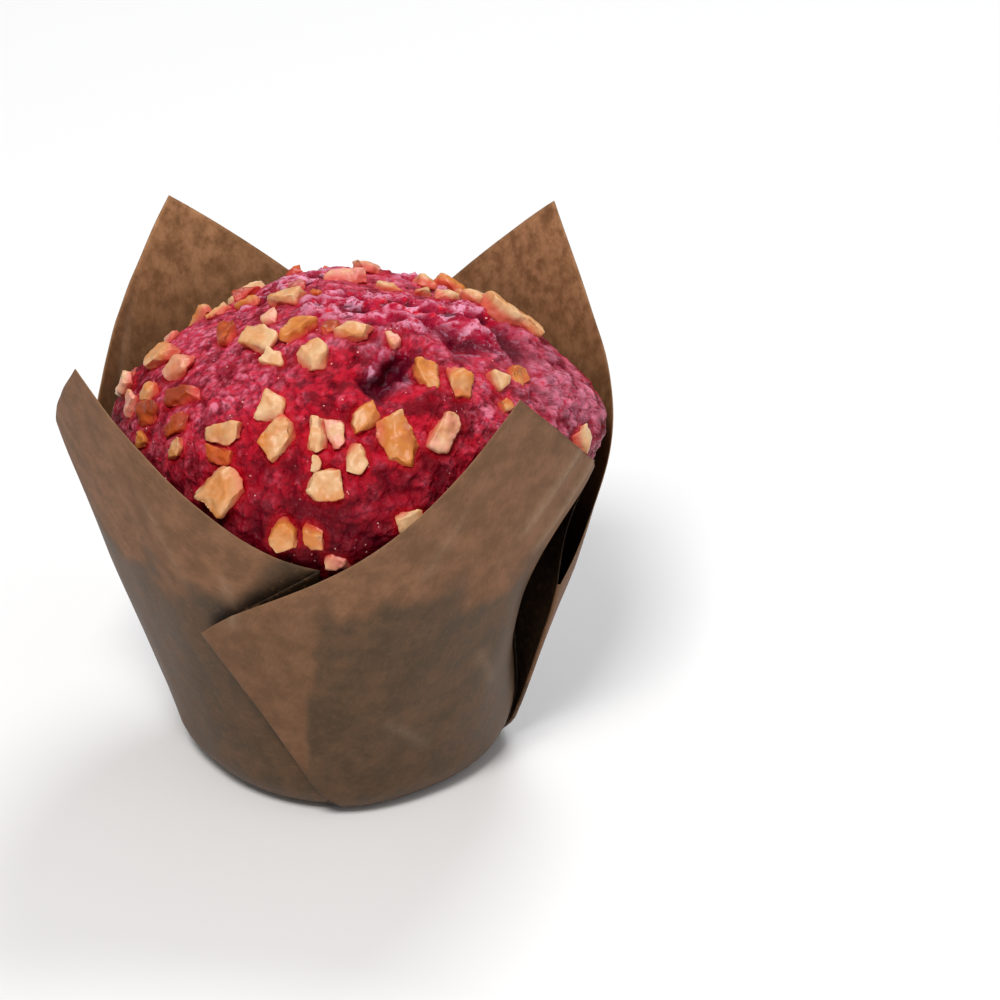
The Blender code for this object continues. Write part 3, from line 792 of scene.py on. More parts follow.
# %% The nuts' places
# Turn round the dome, angle down from its top, length, width, lie (0 level, 90 up the slope), tone
# (0 cream, 0.5 golden, 1 toasted brown) and how much of it is stained pink
FRONT_NUTS = (
    (-76.0, 67.0, 11.0, 6.0, 110.0, 0.60, 0.0),
    (10.0, 50.0, 8.0, 5.0, 80.0, 0.20, 0.0),
    (98.0, 39.0, 8.0, 4.2, 0.0, 0.10, 1.0),
    (-62.0, 66.0, 8.0, 4.2, 47.0, 0.15, 0.6),
    (-119.0, 79.0, 7.6, 6.6, 60.0, 0.20, 0.0),
    (-147.0, 65.0, 7.6, 3.6, 33.0, 1.00, 0.0),
    (-126.0, 31.0, 7.4, 4.0, 77.0, 0.60, 0.0),
    (-178.0, 65.0, 7.0, 5.8, 20.0, 0.30, 0.0),
    (-109.0, 66.0, 6.6, 5.6, 60.0, 0.40, 0.0),
    (10.0, 58.0, 6.4, 4.8, 70.0, 0.30, 0.0),
    (165.0, 26.0, 6.4, 4.8, 90.0, 0.25, 0.0),
    (-87.0, 29.0, 6.4, 3.8, 0.0, 0.20, 0.0),
    (-50.0, 55.0, 6.4, 4.2, 60.0, 0.55, 0.0),
    (-106.0, 41.0, 6.2, 5.4, 100.0, 0.15, 0.0),
    (-98.0, 65.0, 6.2, 4.0, 85.0, 0.15, 0.0),
    (-140.0, 40.0, 6.0, 5.0, 22.0, 0.15, 0.0),
    (-95.0, 76.0, 6.0, 5.2, 10.0, 0.20, 0.0),
    (-104.0, 88.0, 6.0, 4.8, 95.0, 0.30, 0.0),
    (-124.0, 68.0, 6.0, 4.4, 10.0, 0.20, 0.0),
    (-169.0, 47.0, 5.8, 3.6, 149.0, 0.95, 0.0),
    (-153.0, 72.0, 5.6, 4.4, 30.0, 0.85, 0.0),
    (-59.0, 50.0, 5.6, 4.8, 60.0, 0.50, 0.0),
    (-20.0, 82.0, 5.6, 3.6, 90.0, 0.15, 0.0),
    (18.0, 45.0, 5.4, 4.0, 80.0, 0.25, 0.0),
    (-113.0, 59.0, 5.2, 4.6, 95.0, 0.10, 0.0),
    (-140.0, 70.0, 5.2, 3.4, 55.0, 0.90, 0.0),
    (-161.0, 61.0, 5.0, 4.6, 70.0, 0.30, 0.6),
    (-85.0, 60.0, 5.0, 4.8, 20.0, 0.55, 0.0),
    (-76.0, 84.0, 5.0, 4.2, 0.0, 0.20, 0.0),
    (-97.0, 88.0, 5.0, 3.6, 85.0, 0.50, 0.0),
    (-93.0, 64.0, 5.0, 3.2, 100.0, 0.20, 0.8),
    (-123.0, 73.0, 5.0, 3.2, 0.0, 0.80, 0.0),
    (-87.0, 70.0, 4.8, 3.6, 80.0, 0.00, 0.0),
    (-177.0, 76.0, 4.6, 4.2, 0.0, 0.15, 0.6),
    (-162.0, 70.0, 4.6, 4.0, 30.0, 0.30, 0.0),
    (32.0, 42.0, 4.6, 3.6, 60.0, 0.20, 0.0),
    (-166.0, 75.0, 4.4, 4.0, 0.0, 0.15, 0.8),
    (-26.0, 61.0, 4.4, 3.8, 0.0, 0.60, 0.0),
    (176.0, 78.0, 4.4, 3.4, 90.0, 0.20, 0.0),
    (69.0, 38.0, 4.4, 3.0, 0.0, 0.20, 0.0),
    (-36.0, 59.0, 4.2, 3.8, 60.0, 0.15, 0.0),
    (-136.0, 75.0, 4.2, 3.2, 90.0, 0.30, 0.0),
    (-124.0, 44.0, 4.0, 3.4, 0.0, 0.10, 0.0),
    (144.0, 50.0, 4.0, 3.2, 90.0, 0.60, 0.0),
    (-92.0, 95.0, 4.0, 3.2, 10.0, 0.20, 0.8),
    (-163.0, 31.0, 3.6, 3.0, 0.0, 0.20, 0.9),
    (-103.0, 27.0, 3.6, 3.0, 40.0, 0.90, 0.0),
    (-65.0, 35.0, 3.6, 2.6, 80.0, 0.20, 0.9),
    (-150.0, 78.0, 3.4, 3.0, 0.0, 0.60, 0.0),
    (142.0, 19.0, 3.4, 2.4, 60.0, 0.80, 0.0),
    (-97.0, 71.0, 3.2, 2.2, 85.0, 0.10, 0.0),
    (-39.0, 65.0, 3.0, 2.6, 0.0, 0.60, 0.0),
)
NUT_CLEARANCE = 0.6 * MM
BACK_START = 8.0 * MM
BACK_TRIES = 150
BACK_LENGTH = (3.6 * MM, 7.2 * MM)
NUT_SEED = 5


def dome_spot(turn, down):
    """The crust's place in this direction from the dome's middle, and how a thing lies on it.

    The lie is a matrix whose columns are level, up the slope and straight out.
    """
    turn = math.radians(turn)
    down = math.radians(down)
    way = Vector((math.sin(down) * math.cos(turn), math.sin(down) * math.sin(turn), math.cos(down)))
    spot, _, _, _ = cake_tree.ray_cast(DOME_CENTRE + way * 2.0 * DOME_RADIUS, -way)
    out = Vector((way.x, way.y, way.z * DOME_RADIUS / DOME_RISE)).normalized()
    level = Vector((-math.sin(turn), math.cos(turn), 0.0))
    return spot, Matrix((level, out.cross(level), out)).transposed()


def clear_of_paper(spot, thick):
    turn = math.degrees(math.atan2(spot.y, spot.x))
    reach = Vector((spot.x, spot.y)).length + thick
    return reach < paper_radius(turn, spot.z) - 0.5 * PAPER_THICKNESS - NUT_CLEARANCE


def nut_places(chance):
    """Every nut's place, lie, length, width, turn on the crust, tone and stain."""
    tones = random.Random(NUT_SEED + 1)
    places = []
    for turn, down, length, width, lie_turn, tone, stain in FRONT_NUTS:
        spot, lie = dome_spot(turn, down)
        places.append((spot, lie, length * MM, width * MM, lie_turn, tone, stain))
    for _ in range(BACK_TRIES):
        turn = chance.uniform(0.0, 180.0)
        down = math.degrees(math.acos(chance.uniform(0.1, 1.0)))
        length = chance.uniform(*BACK_LENGTH)
        width = length * chance.uniform(0.55, 0.9)
        lie_turn = chance.uniform(0.0, 180.0)
        spot, lie = dome_spot(turn, down)
        apart = all((spot - other[0]).length > 0.6 * (length + other[2]) for other in places)
        if spot.y > BACK_START and apart and clear_of_paper(spot, width):
            tone = tones.choice((0.05, 0.15, 0.2, 0.3, 0.5, 0.6, 0.9))
            places.append((spot, lie, length, width, lie_turn, tone, tones.choice((0.0, 0.0, 0.7))))
    return places


nut_list = nut_places(random.Random(NUT_SEED))
print("nuts:", len(nut_list), "of which", len(FRONT_NUTS), "are on the front half")

# %% [markdown]
# ## Chopping a nut
#
# A chopped nut is a solid bit that was partly cut and partly broken. So each one starts as a block
# and is cut the same way: `bisect_plane` slices off what lies outside a plane, and the wound is
# filled with a face. After the cuts its faces are divided into small triangles and `smooth_vert`
# takes the sharpness off the edges. Then scoops are pressed into it, as where a nut broke: the
# distance to the nearest of many scattered points is a field of shallow bowls with crisp crests.

# %% Chop one nut
# A nut's thickness as a share of its width, and how much of it is sunk into the crust
NUT_THICKNESS = 0.6
NUT_SUNK = 0.36
# How much of its length and width a nut keeps when it is chopped
NUT_KEEPS = (0.96, 0.86)
NUT_CUTS = 8
CUT_DEPTH = (0.7, 1.04)
# Edges longer than this are halved, in so many rounds
NUT_ROUNDS = 4
NUT_EDGE = 0.6 * MM
# The scoops' sizes and depths
SCOOPS = ((2.6 * MM, 0.8 * MM), (1.0 * MM, 0.36 * MM))


def chopped_nut(chance, length, width, thick):
    """One nut at the origin, cut from a block of this size."""
    bm = bmesh.new()
    bmesh.ops.create_cube(bm, size=1.0)
    bmesh.ops.scale(bm, vec=(length, width, thick), verts=bm.verts)
    for _ in range(NUT_CUTS):
        way = Vector([chance.gauss(0.0, 1.0) for _ in range(3)]).normalized()
        reach = 0.5 * Vector((way.x * length, way.y * width, way.z * thick)).length
        cut = bmesh.ops.bisect_plane(bm, geom=bm.verts[:] + bm.edges[:] + bm.faces[:],
                                     plane_co=way * reach * chance.uniform(*CUT_DEPTH), plane_no=way,
                                     clear_outer=True)
        wound = [item for item in cut["geom_cut"] if isinstance(item, bmesh.types.BMEdge)]
        if len(wound) > 2:
            bmesh.ops.contextual_create(bm, geom=wound)
    bmesh.ops.remove_doubles(bm, verts=bm.verts, dist=0.15 * MM)
    bmesh.ops.triangulate(bm, faces=bm.faces)
    for _ in range(NUT_ROUNDS):
        long_edges = [edge for edge in bm.edges if edge.calc_length() > NUT_EDGE]
        bmesh.ops.subdivide_edges(bm, edges=long_edges, cuts=1)
        bmesh.ops.triangulate(bm, faces=bm.faces)
    soften(bm, bm.verts)
    bmesh.ops.recalc_face_normals(bm, faces=bm.faces)
    return bm


def scooped(point):
    """How far a broken face stands out at a point: shallow scoops that meet in crisp crests."""
    return sum(depth * (noise.voronoi(point / size)[0][0] - 0.6) for size, depth in SCOOPS)


trial = chopped_nut(random.Random(1), 7.0 * MM, 5.0 * MM, 3.0 * MM)
print("a nut has", len(trial.faces), "faces")
trial.free()

# %% [markdown]
# ## Strewing the nuts
#
# Every chopped nut is turned to lie on the crust, sunk into it by part of its thickness, and added
# to one of two meshes: pale nuts and toasted ones. Three attributes go with it. `tone` is its
# colour from cream to brown, `stain` its pink blush, and `sunk` runs from 0 at its top to 1 where
# it enters the crust, because red batter creeps up its sides.

# %% Strew them
# The tone from which a nut counts as toasted
TOASTED_FROM = 0.7


def add_nut(bm, layers, nut, spot, lie, thick, lie_turn, tone, stain):
    """Puts a chopped nut on the crust, in the mesh of its kind."""
    lie = lie @ Matrix.Rotation(math.radians(lie_turn), 3, "Z")
    middle = spot + lie.col[2] * thick * (0.5 - NUT_SUNK)
    placed = Matrix.Translation(middle) @ lie.to_4x4()
    bmesh.ops.transform(nut, matrix=placed, verts=nut.verts)
    nut.normal_update()
    for vert in nut.verts:
        vert.co += vert.normal * scooped(vert.co)
    copies = {}
    for vert in nut.verts:
        copy = bm.verts.new(vert.co)
        above = (vert.co - spot).dot(lie.col[2]) / thick
        copy[layers["tone"]] = tone
        copy[layers["stain"]] = stain
        copy[layers["sunk"]] = 1.0 - smooth(above / 0.5)
        copies[vert] = copy
    for face in nut.faces:
        bm.faces.new([copies[vert] for vert in face.verts])
    nut.free()


def strew(places, seed):
    """One mesh with a chopped nut at each place."""
    bm = bmesh.new()
    layers = {name: bm.verts.layers.float.new(name) for name in ("tone", "stain", "sunk")}
    chance = random.Random(seed)
    for spot, lie, length, width, lie_turn, tone, stain in places:
        thick = NUT_THICKNESS * width
        nut = chopped_nut(chance, NUT_KEEPS[0] * length, NUT_KEEPS[1] * width, thick)
        add_nut(bm, layers, nut, spot, lie, thick, lie_turn, tone, stain)
    return bm


pale_bm = strew([place for place in nut_list if place[5] < TOASTED_FROM], 11)
toasted_bm = strew([place for place in nut_list if place[5] >= TOASTED_FROM], 12)
print("pale nuts have", len(pale_bm.faces), "faces, toasted ones", len(toasted_bm.faces))

# %% [markdown]
# Batter wets the crust round each nut, and it sags a little there. `find_nearest` on a tree of all
# nuts gives each point of the crust its distance to the next nut, and that makes one more
# attribute, `wet`.

# %% Wet the crust round the nuts
WET_REACH = 1.3 * MM
WET_SINK = 0.18 * MM


def wet_round(cake, nuts):
    """Marks the crust within reach of a nut as wet, and lets it sag."""
    trees = [BVHTree.FromBMesh(bm) for bm in nuts]
    wet = cake.verts.layers.float["wet"]
    for vert in cake.verts:
        if vert.co.z < CAKE_LEAVES_PAPER:
            continue
        nearest = [tree.find_nearest(vert.co, WET_REACH)[3] for tree in trees]
        gap = min((gap for gap in nearest if gap is not None), default=WET_REACH)
        vert[wet] = 1.0 - smooth(gap / WET_REACH)
        vert.co -= (vert.co - DOME_CENTRE).normalized() * WET_SINK * vert[wet]


wet_round(cake_bm, (pale_bm, toasted_bm))
wet_layer = cake_bm.verts.layers.float["wet"]
print("wet points of the crust:", sum(vert[wet_layer] > 0.5 for vert in cake_bm.verts))

# %% [markdown]
# ## Building finishes from nodes
#
# A finish is a small network of shader nodes. One helper adds a node, sets its options and fills
# its inputs, either with a value or with another node's output. Colours are given as they look on
# a screen, 0 to 255, and turned into the linear values that Blender works with.

# %% Node helpers
def linear(*screen):
    """A colour as Blender wants it, from red, green and blue as they look on a screen."""
    parts = [part / 255.0 for part in screen]
    return (*[part / 12.92 if part <= 0.04045 else ((part + 0.055) / 1.055) ** 2.4 for part in parts], 1.0)


def add_node(tree, kind, inputs, **options):
    """A new node. Its inputs, by name or number, get a value or another node's output."""
    made = tree.nodes.new("ShaderNode" + kind)
    for name, value in options.items():
        setattr(made, name, value)
    for name, value in inputs.items():
        if isinstance(value, bpy.types.NodeSocket):
            tree.links.new(value, made.inputs[name])
        else:
            made.inputs[name].default_value = value
    return made


def add_group(tree, group, inputs):
    """A node that stands for a whole group, with the group's inputs filled in the same way."""
    made = tree.nodes.new("ShaderNodeGroup")
    made.node_tree = group
    for name, value in inputs.items():
        if isinstance(value, bpy.types.NodeSocket):
            tree.links.new(value, made.inputs[name])
        else:
            made.inputs[name].default_value = value
    return made


def attribute(tree, name):
    return add_node(tree, "Attribute", {}, attribute_name=name).outputs["Fac"]


def blend_colours(tree, share, first, last, how="MIX"):
    """The two colours mixed by a share: MIX blends them, MULTIPLY stains one with the other."""
    made = add_node(tree, "Mix", {0: share, 6: first, 7: last}, data_type="RGBA", blend_type=how)
    return made.outputs[2]


def calculate(tree, how, *values):
    return add_node(tree, "Math", dict(enumerate(values)), operation=how).outputs[0]


def lay_over(tree, colour, mask, strength, top):
    """The colour with another one over it where the mask is, at most as strong as given."""
    return blend_colours(tree, calculate(tree, "MULTIPLY", mask, strength), colour, top)


def remap(tree, value, start, end, low=0.0, high=1.0):
    """A value that runs from start to end, made to run from low to high and kept between them."""
    inputs = {"Value": value, "From Min": start, "From Max": end, "To Min": low, "To Max": high}
    return add_node(tree, "MapRange", inputs).outputs["Result"]


def add_bump(tree, shader, height, strength, distance):
    """A relief for light only. Height in the finish's own units, and distance in metres."""
    bump = add_node(tree, "Bump", {"Height": height, "Strength": strength, "Distance": distance})
    tree.links.new(bump.outputs["Normal"], shader.inputs["Normal"])


def new_material(name):
    """A material with nothing but its shader, and that shader."""
    material = bpy.data.materials.new(name)
    material.use_nodes = True
    return material, material.node_tree, material.node_tree.nodes["Principled BSDF"]


print("mid grey on a screen is", round(linear(128, 128, 128)[0], 3), "as a linear value")

# %% [markdown]
# ## Two shared effects
#
# All three finishes are mottled, and all three have a fine grain that catches the light. Such an
# effect is best built once, as a node group with named sockets, and then placed in each material
# with its own values. `Mottle` gives a mask of soft patches. `Grain` gives the height of a fine
# relief, for a Bump node.

# %% The node groups
def new_group(name, inputs, output):
    """An empty group with a vector and some float inputs, one float output, and its end nodes."""
    group = bpy.data.node_groups.new(name, "ShaderNodeTree")
    group.interface.new_socket("Vector", in_out="INPUT", socket_type="NodeSocketVector")
    for socket, value in inputs.items():
        made = group.interface.new_socket(socket, in_out="INPUT", socket_type="NodeSocketFloat")
        made.default_value = value
    group.interface.new_socket(output, in_out="OUTPUT", socket_type="NodeSocketFloat")
    return group, group.nodes.new("NodeGroupInput").outputs, group.nodes.new("NodeGroupOutput").inputs


def make_mottle():
    group, given, out = new_group("Mottle", {"Scale": 100.0, "Low": 0.4, "High": 0.6}, "Mask")
    cloud = add_node(group, "TexNoise", {"Vector": given["Vector"], "Scale": given["Scale"],
                                         "Detail": 3.0, "Roughness": 0.65})
    mask = add_node(group, "MapRange", {"Value": cloud.outputs["Fac"], "From Min": given["Low"],
                                        "From Max": given["High"]}, interpolation_type="SMOOTHSTEP")
    group.links.new(mask.outputs["Result"], out["Mask"])
    return group


def make_grain():
    group, given, out = new_group("Grain", {"Scale": 2000.0, "Pits": 0.5}, "Height")
    fine = add_node(group, "TexNoise", {"Vector": given["Vector"], "Scale": given["Scale"],
                                        "Detail": 2.0, "Roughness": 0.7})
    cells = add_node(group, "TexVoronoi", {"Vector": given["Vector"], "Scale": given["Scale"]})
    pits = calculate(group, "MULTIPLY", cells.outputs["Distance"], given["Pits"])
    group.links.new(calculate(group, "ADD", fine.outputs["Fac"], pits), out["Height"])
    return group


MOTTLE = make_mottle()
GRAIN = make_grain()
print("groups:", MOTTLE.name, "and", GRAIN.name)


def mottle(tree, vector, scale, low, high):
    """Soft patches, about 1 / scale metres wide. The closer low and high are, the harder their edges."""
    inputs = {"Vector": vector, "Scale": scale, "Low": low, "High": high}
    return add_group(tree, MOTTLE, inputs).outputs["Mask"]


def grain(tree, vector, scale, pits):
    """A fine relief, with pits that are as strong as given."""
    return add_group(tree, GRAIN, {"Vector": vector, "Scale": scale, "Pits": pits}).outputs["Height"]


# %% [markdown]
# ## The paper's finish
#
# Brown greaseproof paper is matte, with cloudy patches where the pulp is thicker, and short fibres
# that all lie roughly one way. A picture of paper could be used, but it would repeat. Noise that is
# stretched along one direction gives fibres that never do. Grease makes the paper darker and
# smoother. The inside of the petals is warmer and more blotchy than the outside, so it gets the
# same recipe with other colours, and the cut edge is paler.

# %% Make the paper's finishes
# Each finish has a light and a dark brown, the brown of greasy paper, the scale of its clouds, and
# the height below which painted shade darkens all of it towards the greasy brown
PAPER_FINISHES = {
    "paper_outside": (linear(137, 97, 70), linear(113, 80, 55), linear(78, 59, 40), 230.0, 0.0),
    "paper_inside": (linear(184, 136, 96), linear(130, 91, 58), linear(88, 58, 32), 380.0, 76.0 * MM),
    "paper_edge": (linear(150, 118, 88), linear(128, 98, 70), linear(104, 80, 58), 300.0, 0.0),
}
INSIDE_SHADE_FADE = 24.0 * MM
WORN_PAPER = linear(176, 150, 122)
# Painted shade: the nearly black paper at the mouths of the pleats
PLEAT_SHADE_COLOUR = linear(26, 17, 10)
# The fibres' turn on the flat sheet, and how fine they are along and across
FIBRE_TURN = (0.0, 0.0, 0.6)
FIBRE_SCALE = (300.0, 95.0, 1.0)


def paper_fibres(tree):
    """A mask of short fibres that lie one way on the flat sheet."""
    flat = add_node(tree, "UVMap", {}, uv_map="flat_sheet").outputs["UV"]
    stretched = add_node(tree, "Mapping", {"Vector": flat, "Rotation": FIBRE_TURN, "Scale": FIBRE_SCALE})
    inputs = {"Vector": stretched.outputs["Vector"], "Scale": 1.0, "Detail": 4.0, "Roughness": 0.75}
    return add_node(tree, "TexNoise", inputs).outputs["Fac"]


def darkening_mask(tree, place, shade_top):
    """Where the paper is dark: in patches where butter has gone in, and with painted shade all over it low
    down inside.
    """
    darkened = remap(tree, mottle(tree, place, 210.0, 0.35, 0.65), 0.0, 1.0, 0.7, 1.0)
    darkened = calculate(tree, "MULTIPLY", attribute(tree, "grease_and_pleat_shade"), darkened)
    up = add_node(tree, "SeparateXYZ", {"Vector": place}).outputs["Z"]
    # Painted shade: below the given height the paper darkens towards the greasy brown
    return calculate(tree, "MAXIMUM", darkened, remap(tree, up, shade_top, shade_top - INSIDE_SHADE_FADE, 0.0, 0.85))


def paper_material(name, light, dark, greasy, clouds, shade_top):
    material, tree, shader = new_material(name)
    place = add_node(tree, "TexCoord", {}).outputs["Object"]
    fibres = paper_fibres(tree)
    darkened = darkening_mask(tree, place, shade_top)
    colour = blend_colours(tree, mottle(tree, place, clouds, 0.3, 0.7), dark, light)
    colour = blend_colours(tree, darkened, colour, greasy)
    colour = lay_over(tree, colour, attribute(tree, "worn"), 0.4, WORN_PAPER)
    # Painted shade: the mouths of the pleats are painted nearly black
    colour = lay_over(tree, colour, attribute(tree, "pleat_shade"), 0.85, PLEAT_SHADE_COLOUR)
    colour = lay_over(tree, colour, mottle(tree, place, 900.0, 0.52, 0.68), 0.3, dark)
    lint = remap(tree, fibres, 0.35, 0.65, 0.9, 1.09)
    tint = add_node(tree, "CombineColor", {0: lint, 1: lint, 2: lint}).outputs["Color"]
    colour = blend_colours(tree, 1.0, colour, tint, "MULTIPLY")
    tree.links.new(colour, shader.inputs["Base Color"])
    tree.links.new(remap(tree, darkened, 0.0, 1.0, 0.75, 0.5), shader.inputs["Roughness"])
    shader.inputs["Specular IOR Level"].default_value = 0.2
    height = calculate(tree, "ADD", calculate(tree, "MULTIPLY", fibres, 1.2), grain(tree, place, 1200.0, 0.4))
    add_bump(tree, shader, height, 0.4, 0.08 * MM)
    return material


paper_finishes = [paper_material(name, *looks) for name, looks in PAPER_FINISHES.items()]
print("paper finishes:", ", ".join(finish.name for finish in paper_finishes))

# %% [markdown]
# The sheet is still infinitely thin. Solidify gives it a thickness, half of it to each side, and
# three finishes: the second material goes on its inner face and the third on its cut edge.

# %% Give the sheet its thickness
paper = finish_mesh("paper", sheet_bm, paper_finishes)
thickness = paper.modifiers.new("Thickness", "SOLIDIFY")
thickness.thickness = SHEET_THICKNESS
thickness.offset = 0.0
thickness.use_even_offset = True
thickness.material_offset = 1
thickness.material_offset_rim = 2
print("the sheet is", round(thickness.thickness * 1000, 2), "mm thick")

# %% [markdown]
# ## The cake's finish
#
# Red velvet cake is crimson inside and goes dusty pink where its skin dries. So the colour starts
# as two crimsons in patches, and the crust's attributes lay other colours over it: a deep crimson
# low down, darkened towards the paper as painted shade, pink plates on the dry skin, magenta with
# painted mauve highlights on the torn crumb, and painted shade, nearly black-red, in pits and cracks
# and beside the paper. Pale specks stand for fine sugar, with painted glints. What is dry is rough,
# and what is moist or torn shines.

# %% The crust's colours
CRIMSONS = (linear(134, 0, 22), linear(202, 11, 42))
# Deep crimson of the low crust, darkened towards the paper as painted shade
LOW_CRIMSON_AND_SHADE = linear(84, 0, 9)
DUSTY_PINKS = (linear(196, 64, 94), linear(228, 124, 148))
TORN_MAGENTA = linear(176, 10, 58)
TORN_RED = linear(212, 8, 40)
# Painted highlight, mauve, on the torn crumb
MAUVE_HIGHLIGHT = linear(242, 164, 192)
# Painted shade in pits, cracks and beside the paper
PAINTED_SHADE_RED = linear(68, 0, 20)
WET_RED = linear(186, 10, 26)
# Pale specks of sugar, with painted glints
SUGAR_AND_GLINT = linear(255, 196, 190)
PLATE_WAVER = 2.4 * MM


def warped_place(tree, place):
    """The place shifted a little by noise, so that what is drawn at it has wavering edges."""
    shift = add_node(tree, "TexNoise", {"Vector": place, "Scale": 420.0, "Detail": 1.0}).outputs["Color"]
    centred = add_node(tree, "VectorMath", {0: shift, 1: (0.5, 0.5, 0.5)}, operation="SUBTRACT").outputs[0]
    inputs = {0: centred, 1: (PLATE_WAVER, PLATE_WAVER, PLATE_WAVER), 2: place}
    return add_node(tree, "VectorMath", inputs, operation="MULTIPLY_ADD").outputs[0]


def dry_skin(tree, place, colour, dry):
    """Pink plates with crimson creases between them, where the crust is dry."""
    cells = {"Vector": warped_place(tree, place), "Scale": 430.0}
    creases = add_node(tree, "TexVoronoi", cells, feature="DISTANCE_TO_EDGE").outputs["Distance"]
    plates = remap(tree, creases, 0.02, 0.24)
    dusty = calculate(tree, "MULTIPLY", dry, mottle(tree, place, 300.0, 0.3, 0.6))
    dusty = calculate(tree, "MULTIPLY", dusty, calculate(tree, "MULTIPLY_ADD", plates, 0.75, 0.25))
    pink = blend_colours(tree, mottle(tree, place, 620.0, 0.38, 0.62), *DUSTY_PINKS)
    return blend_colours(tree, dusty, colour, pink)


def torn_crumb(tree, place, colour, torn, crest_highlight):
    """Magenta crumb with streaks of wet red, and painted highlights of mauve on its crests and in veined
    patches.
    """
    colour = lay_over(tree, colour, torn, 0.7, TORN_MAGENTA)
    streaks = calculate(tree, "MULTIPLY", torn, mottle(tree, place, 240.0, 0.55, 0.63))
    colour = blend_colours(tree, streaks, colour, TORN_RED)
    # Painted highlights, mauve, on the crests and in veined patches
    marbled_highlights = calculate(tree, "MULTIPLY", torn, mottle(tree, place, 330.0, 0.52, 0.6))
    mauve = calculate(tree, "MAXIMUM", calculate(tree, "MULTIPLY", crest_highlight, 0.8), marbled_highlights)
    mauve = calculate(tree, "MULTIPLY", mauve, mottle(tree, place, 800.0, 0.36, 0.52))
    return lay_over(tree, colour, mauve, 0.9, MAUVE_HIGHLIGHT)


def sugar_and_glint_specks(tree, place):
    """A mask of small dots that come in clusters."""
    cells = add_node(tree, "TexVoronoi", {"Vector": place, "Scale": 1000.0}).outputs["Distance"]
    specks = remap(tree, cells, 0.17, 0.09)
    return calculate(tree, "MULTIPLY", specks, mottle(tree, place, 520.0, 0.54, 0.62))


print("the crust's finish reads:", ", ".join(CRUST_LOOKS))


# %% Make the cake's finish
def cake_material():
    material, tree, shader = new_material("red_velvet")
    place = add_node(tree, "TexCoord", {}).outputs["Object"]
    torn, dry, low, pit_shade, crest_highlight, wet = [attribute(tree, name) for name in CRUST_LOOKS]
    colour = blend_colours(tree, mottle(tree, place, 300.0, 0.42, 0.58), *CRIMSONS)
    # Low crust: deep crimson, darkened towards the paper as painted shade
    colour = lay_over(tree, colour, low, 0.9, LOW_CRIMSON_AND_SHADE)
    colour = dry_skin(tree, place, colour, dry)
    colour = torn_crumb(tree, place, colour, torn, crest_highlight)
    # Painted shade in pits, cracks and beside the paper
    colour = lay_over(tree, colour, pit_shade, 0.88, PAINTED_SHADE_RED)
    colour = lay_over(tree, colour, wet, 0.6, WET_RED)
    # Pale specks of sugar, partly painted glints
    colour = lay_over(tree, colour, sugar_and_glint_specks(tree, place), 0.9, SUGAR_AND_GLINT)
    tree.links.new(colour, shader.inputs["Base Color"])

    moist = calculate(tree, "MAXIMUM", calculate(tree, "MAXIMUM", torn, low), wet)
    shine = calculate(tree, "MULTIPLY", moist, mottle(tree, place, 600.0, 0.3, 0.7))
    tree.links.new(remap(tree, shine, 0.0, 1.0, 0.65, 0.22), shader.inputs["Roughness"])
    shader.inputs["Specular IOR Level"].default_value = 0.13
    fine = calculate(tree, "MULTIPLY", grain(tree, place, 2400.0, 0.4), 0.5)
    add_bump(tree, shader, calculate(tree, "ADD", grain(tree, place, 800.0, 0.9), fine), 0.9, 0.4 * MM)
    return material


red_velvet = cake_material()
cake = finish_mesh("cake", cake_bm, (red_velvet,))

# %% [markdown]
# ## The nuts' finish
#
# A nut is cream-coloured inside and golden to brown where it was toasted. Light goes a little way
# into it, which takes the hardness off its edges: a touch of subsurface does that. The `tone` of
# each nut is varied by soft patches, so that one side of it is more golden than the other, and its
# foot takes the batter's red.

# %% Make the nuts' finish
# The cream, golden and brown of each kind
NUT_FINISHES = {
    "pale_nut": (linear(226, 184, 138), linear(210, 128, 54), linear(170, 74, 32)),
    "toasted_nut": (linear(212, 138, 80), linear(206, 96, 34), linear(162, 60, 24)),
}
BLUSH = linear(232, 138, 138)
BATTER_RED = linear(212, 66, 60)


def nut_material(name, cream, golden, brown):
    material, tree, shader = new_material(name)
    place = add_node(tree, "TexCoord", {}).outputs["Object"]
    tone, stain, sunk = [attribute(tree, each) for each in ("tone", "stain", "sunk")]
    uneven = calculate(tree, "MULTIPLY_ADD", mottle(tree, place, 220.0, 0.25, 0.75), 0.6, -0.3)
    tone = calculate(tree, "ADD", tone, uneven)
    colour = lay_over(tree, cream, tone, 1.8, golden)
    colour = blend_colours(tree, remap(tree, tone, 0.65, 1.05), colour, brown)
    blush = calculate(tree, "MULTIPLY", stain, mottle(tree, place, 350.0, 0.3, 0.6))
    colour = lay_over(tree, colour, blush, 0.7, BLUSH)
    colour = lay_over(tree, colour, sunk, 0.8, BATTER_RED)
    tree.links.new(colour, shader.inputs["Base Color"])
    shader.inputs["Roughness"].default_value = 0.42
    shader.inputs["Subsurface Weight"].default_value = 0.25
    shader.inputs["Subsurface Radius"].default_value = (1.0, 0.5, 0.25)
    shader.inputs["Subsurface Scale"].default_value = 0.8 * MM
    add_bump(tree, shader, grain(tree, place, 1500.0, 0.5), 0.5, 0.12 * MM)
    return material


pale_finish, toasted_finish = [nut_material(name, *colours) for name, colours in NUT_FINISHES.items()]
pale_nuts = finish_mesh("pale_nuts", pale_bm, (pale_finish,))
toasted_nuts = finish_mesh("toasted_nuts", toasted_bm, (toasted_finish,))

# %% [markdown]
# ## Taking the plain model's place
#
# Every piece rides on the muffin's one body. The cake and its nuts stand for the CAD node `muffin`,
# and the folded sheet for `paper_case`. The plain nodes stay in the file for collisions, unseen.

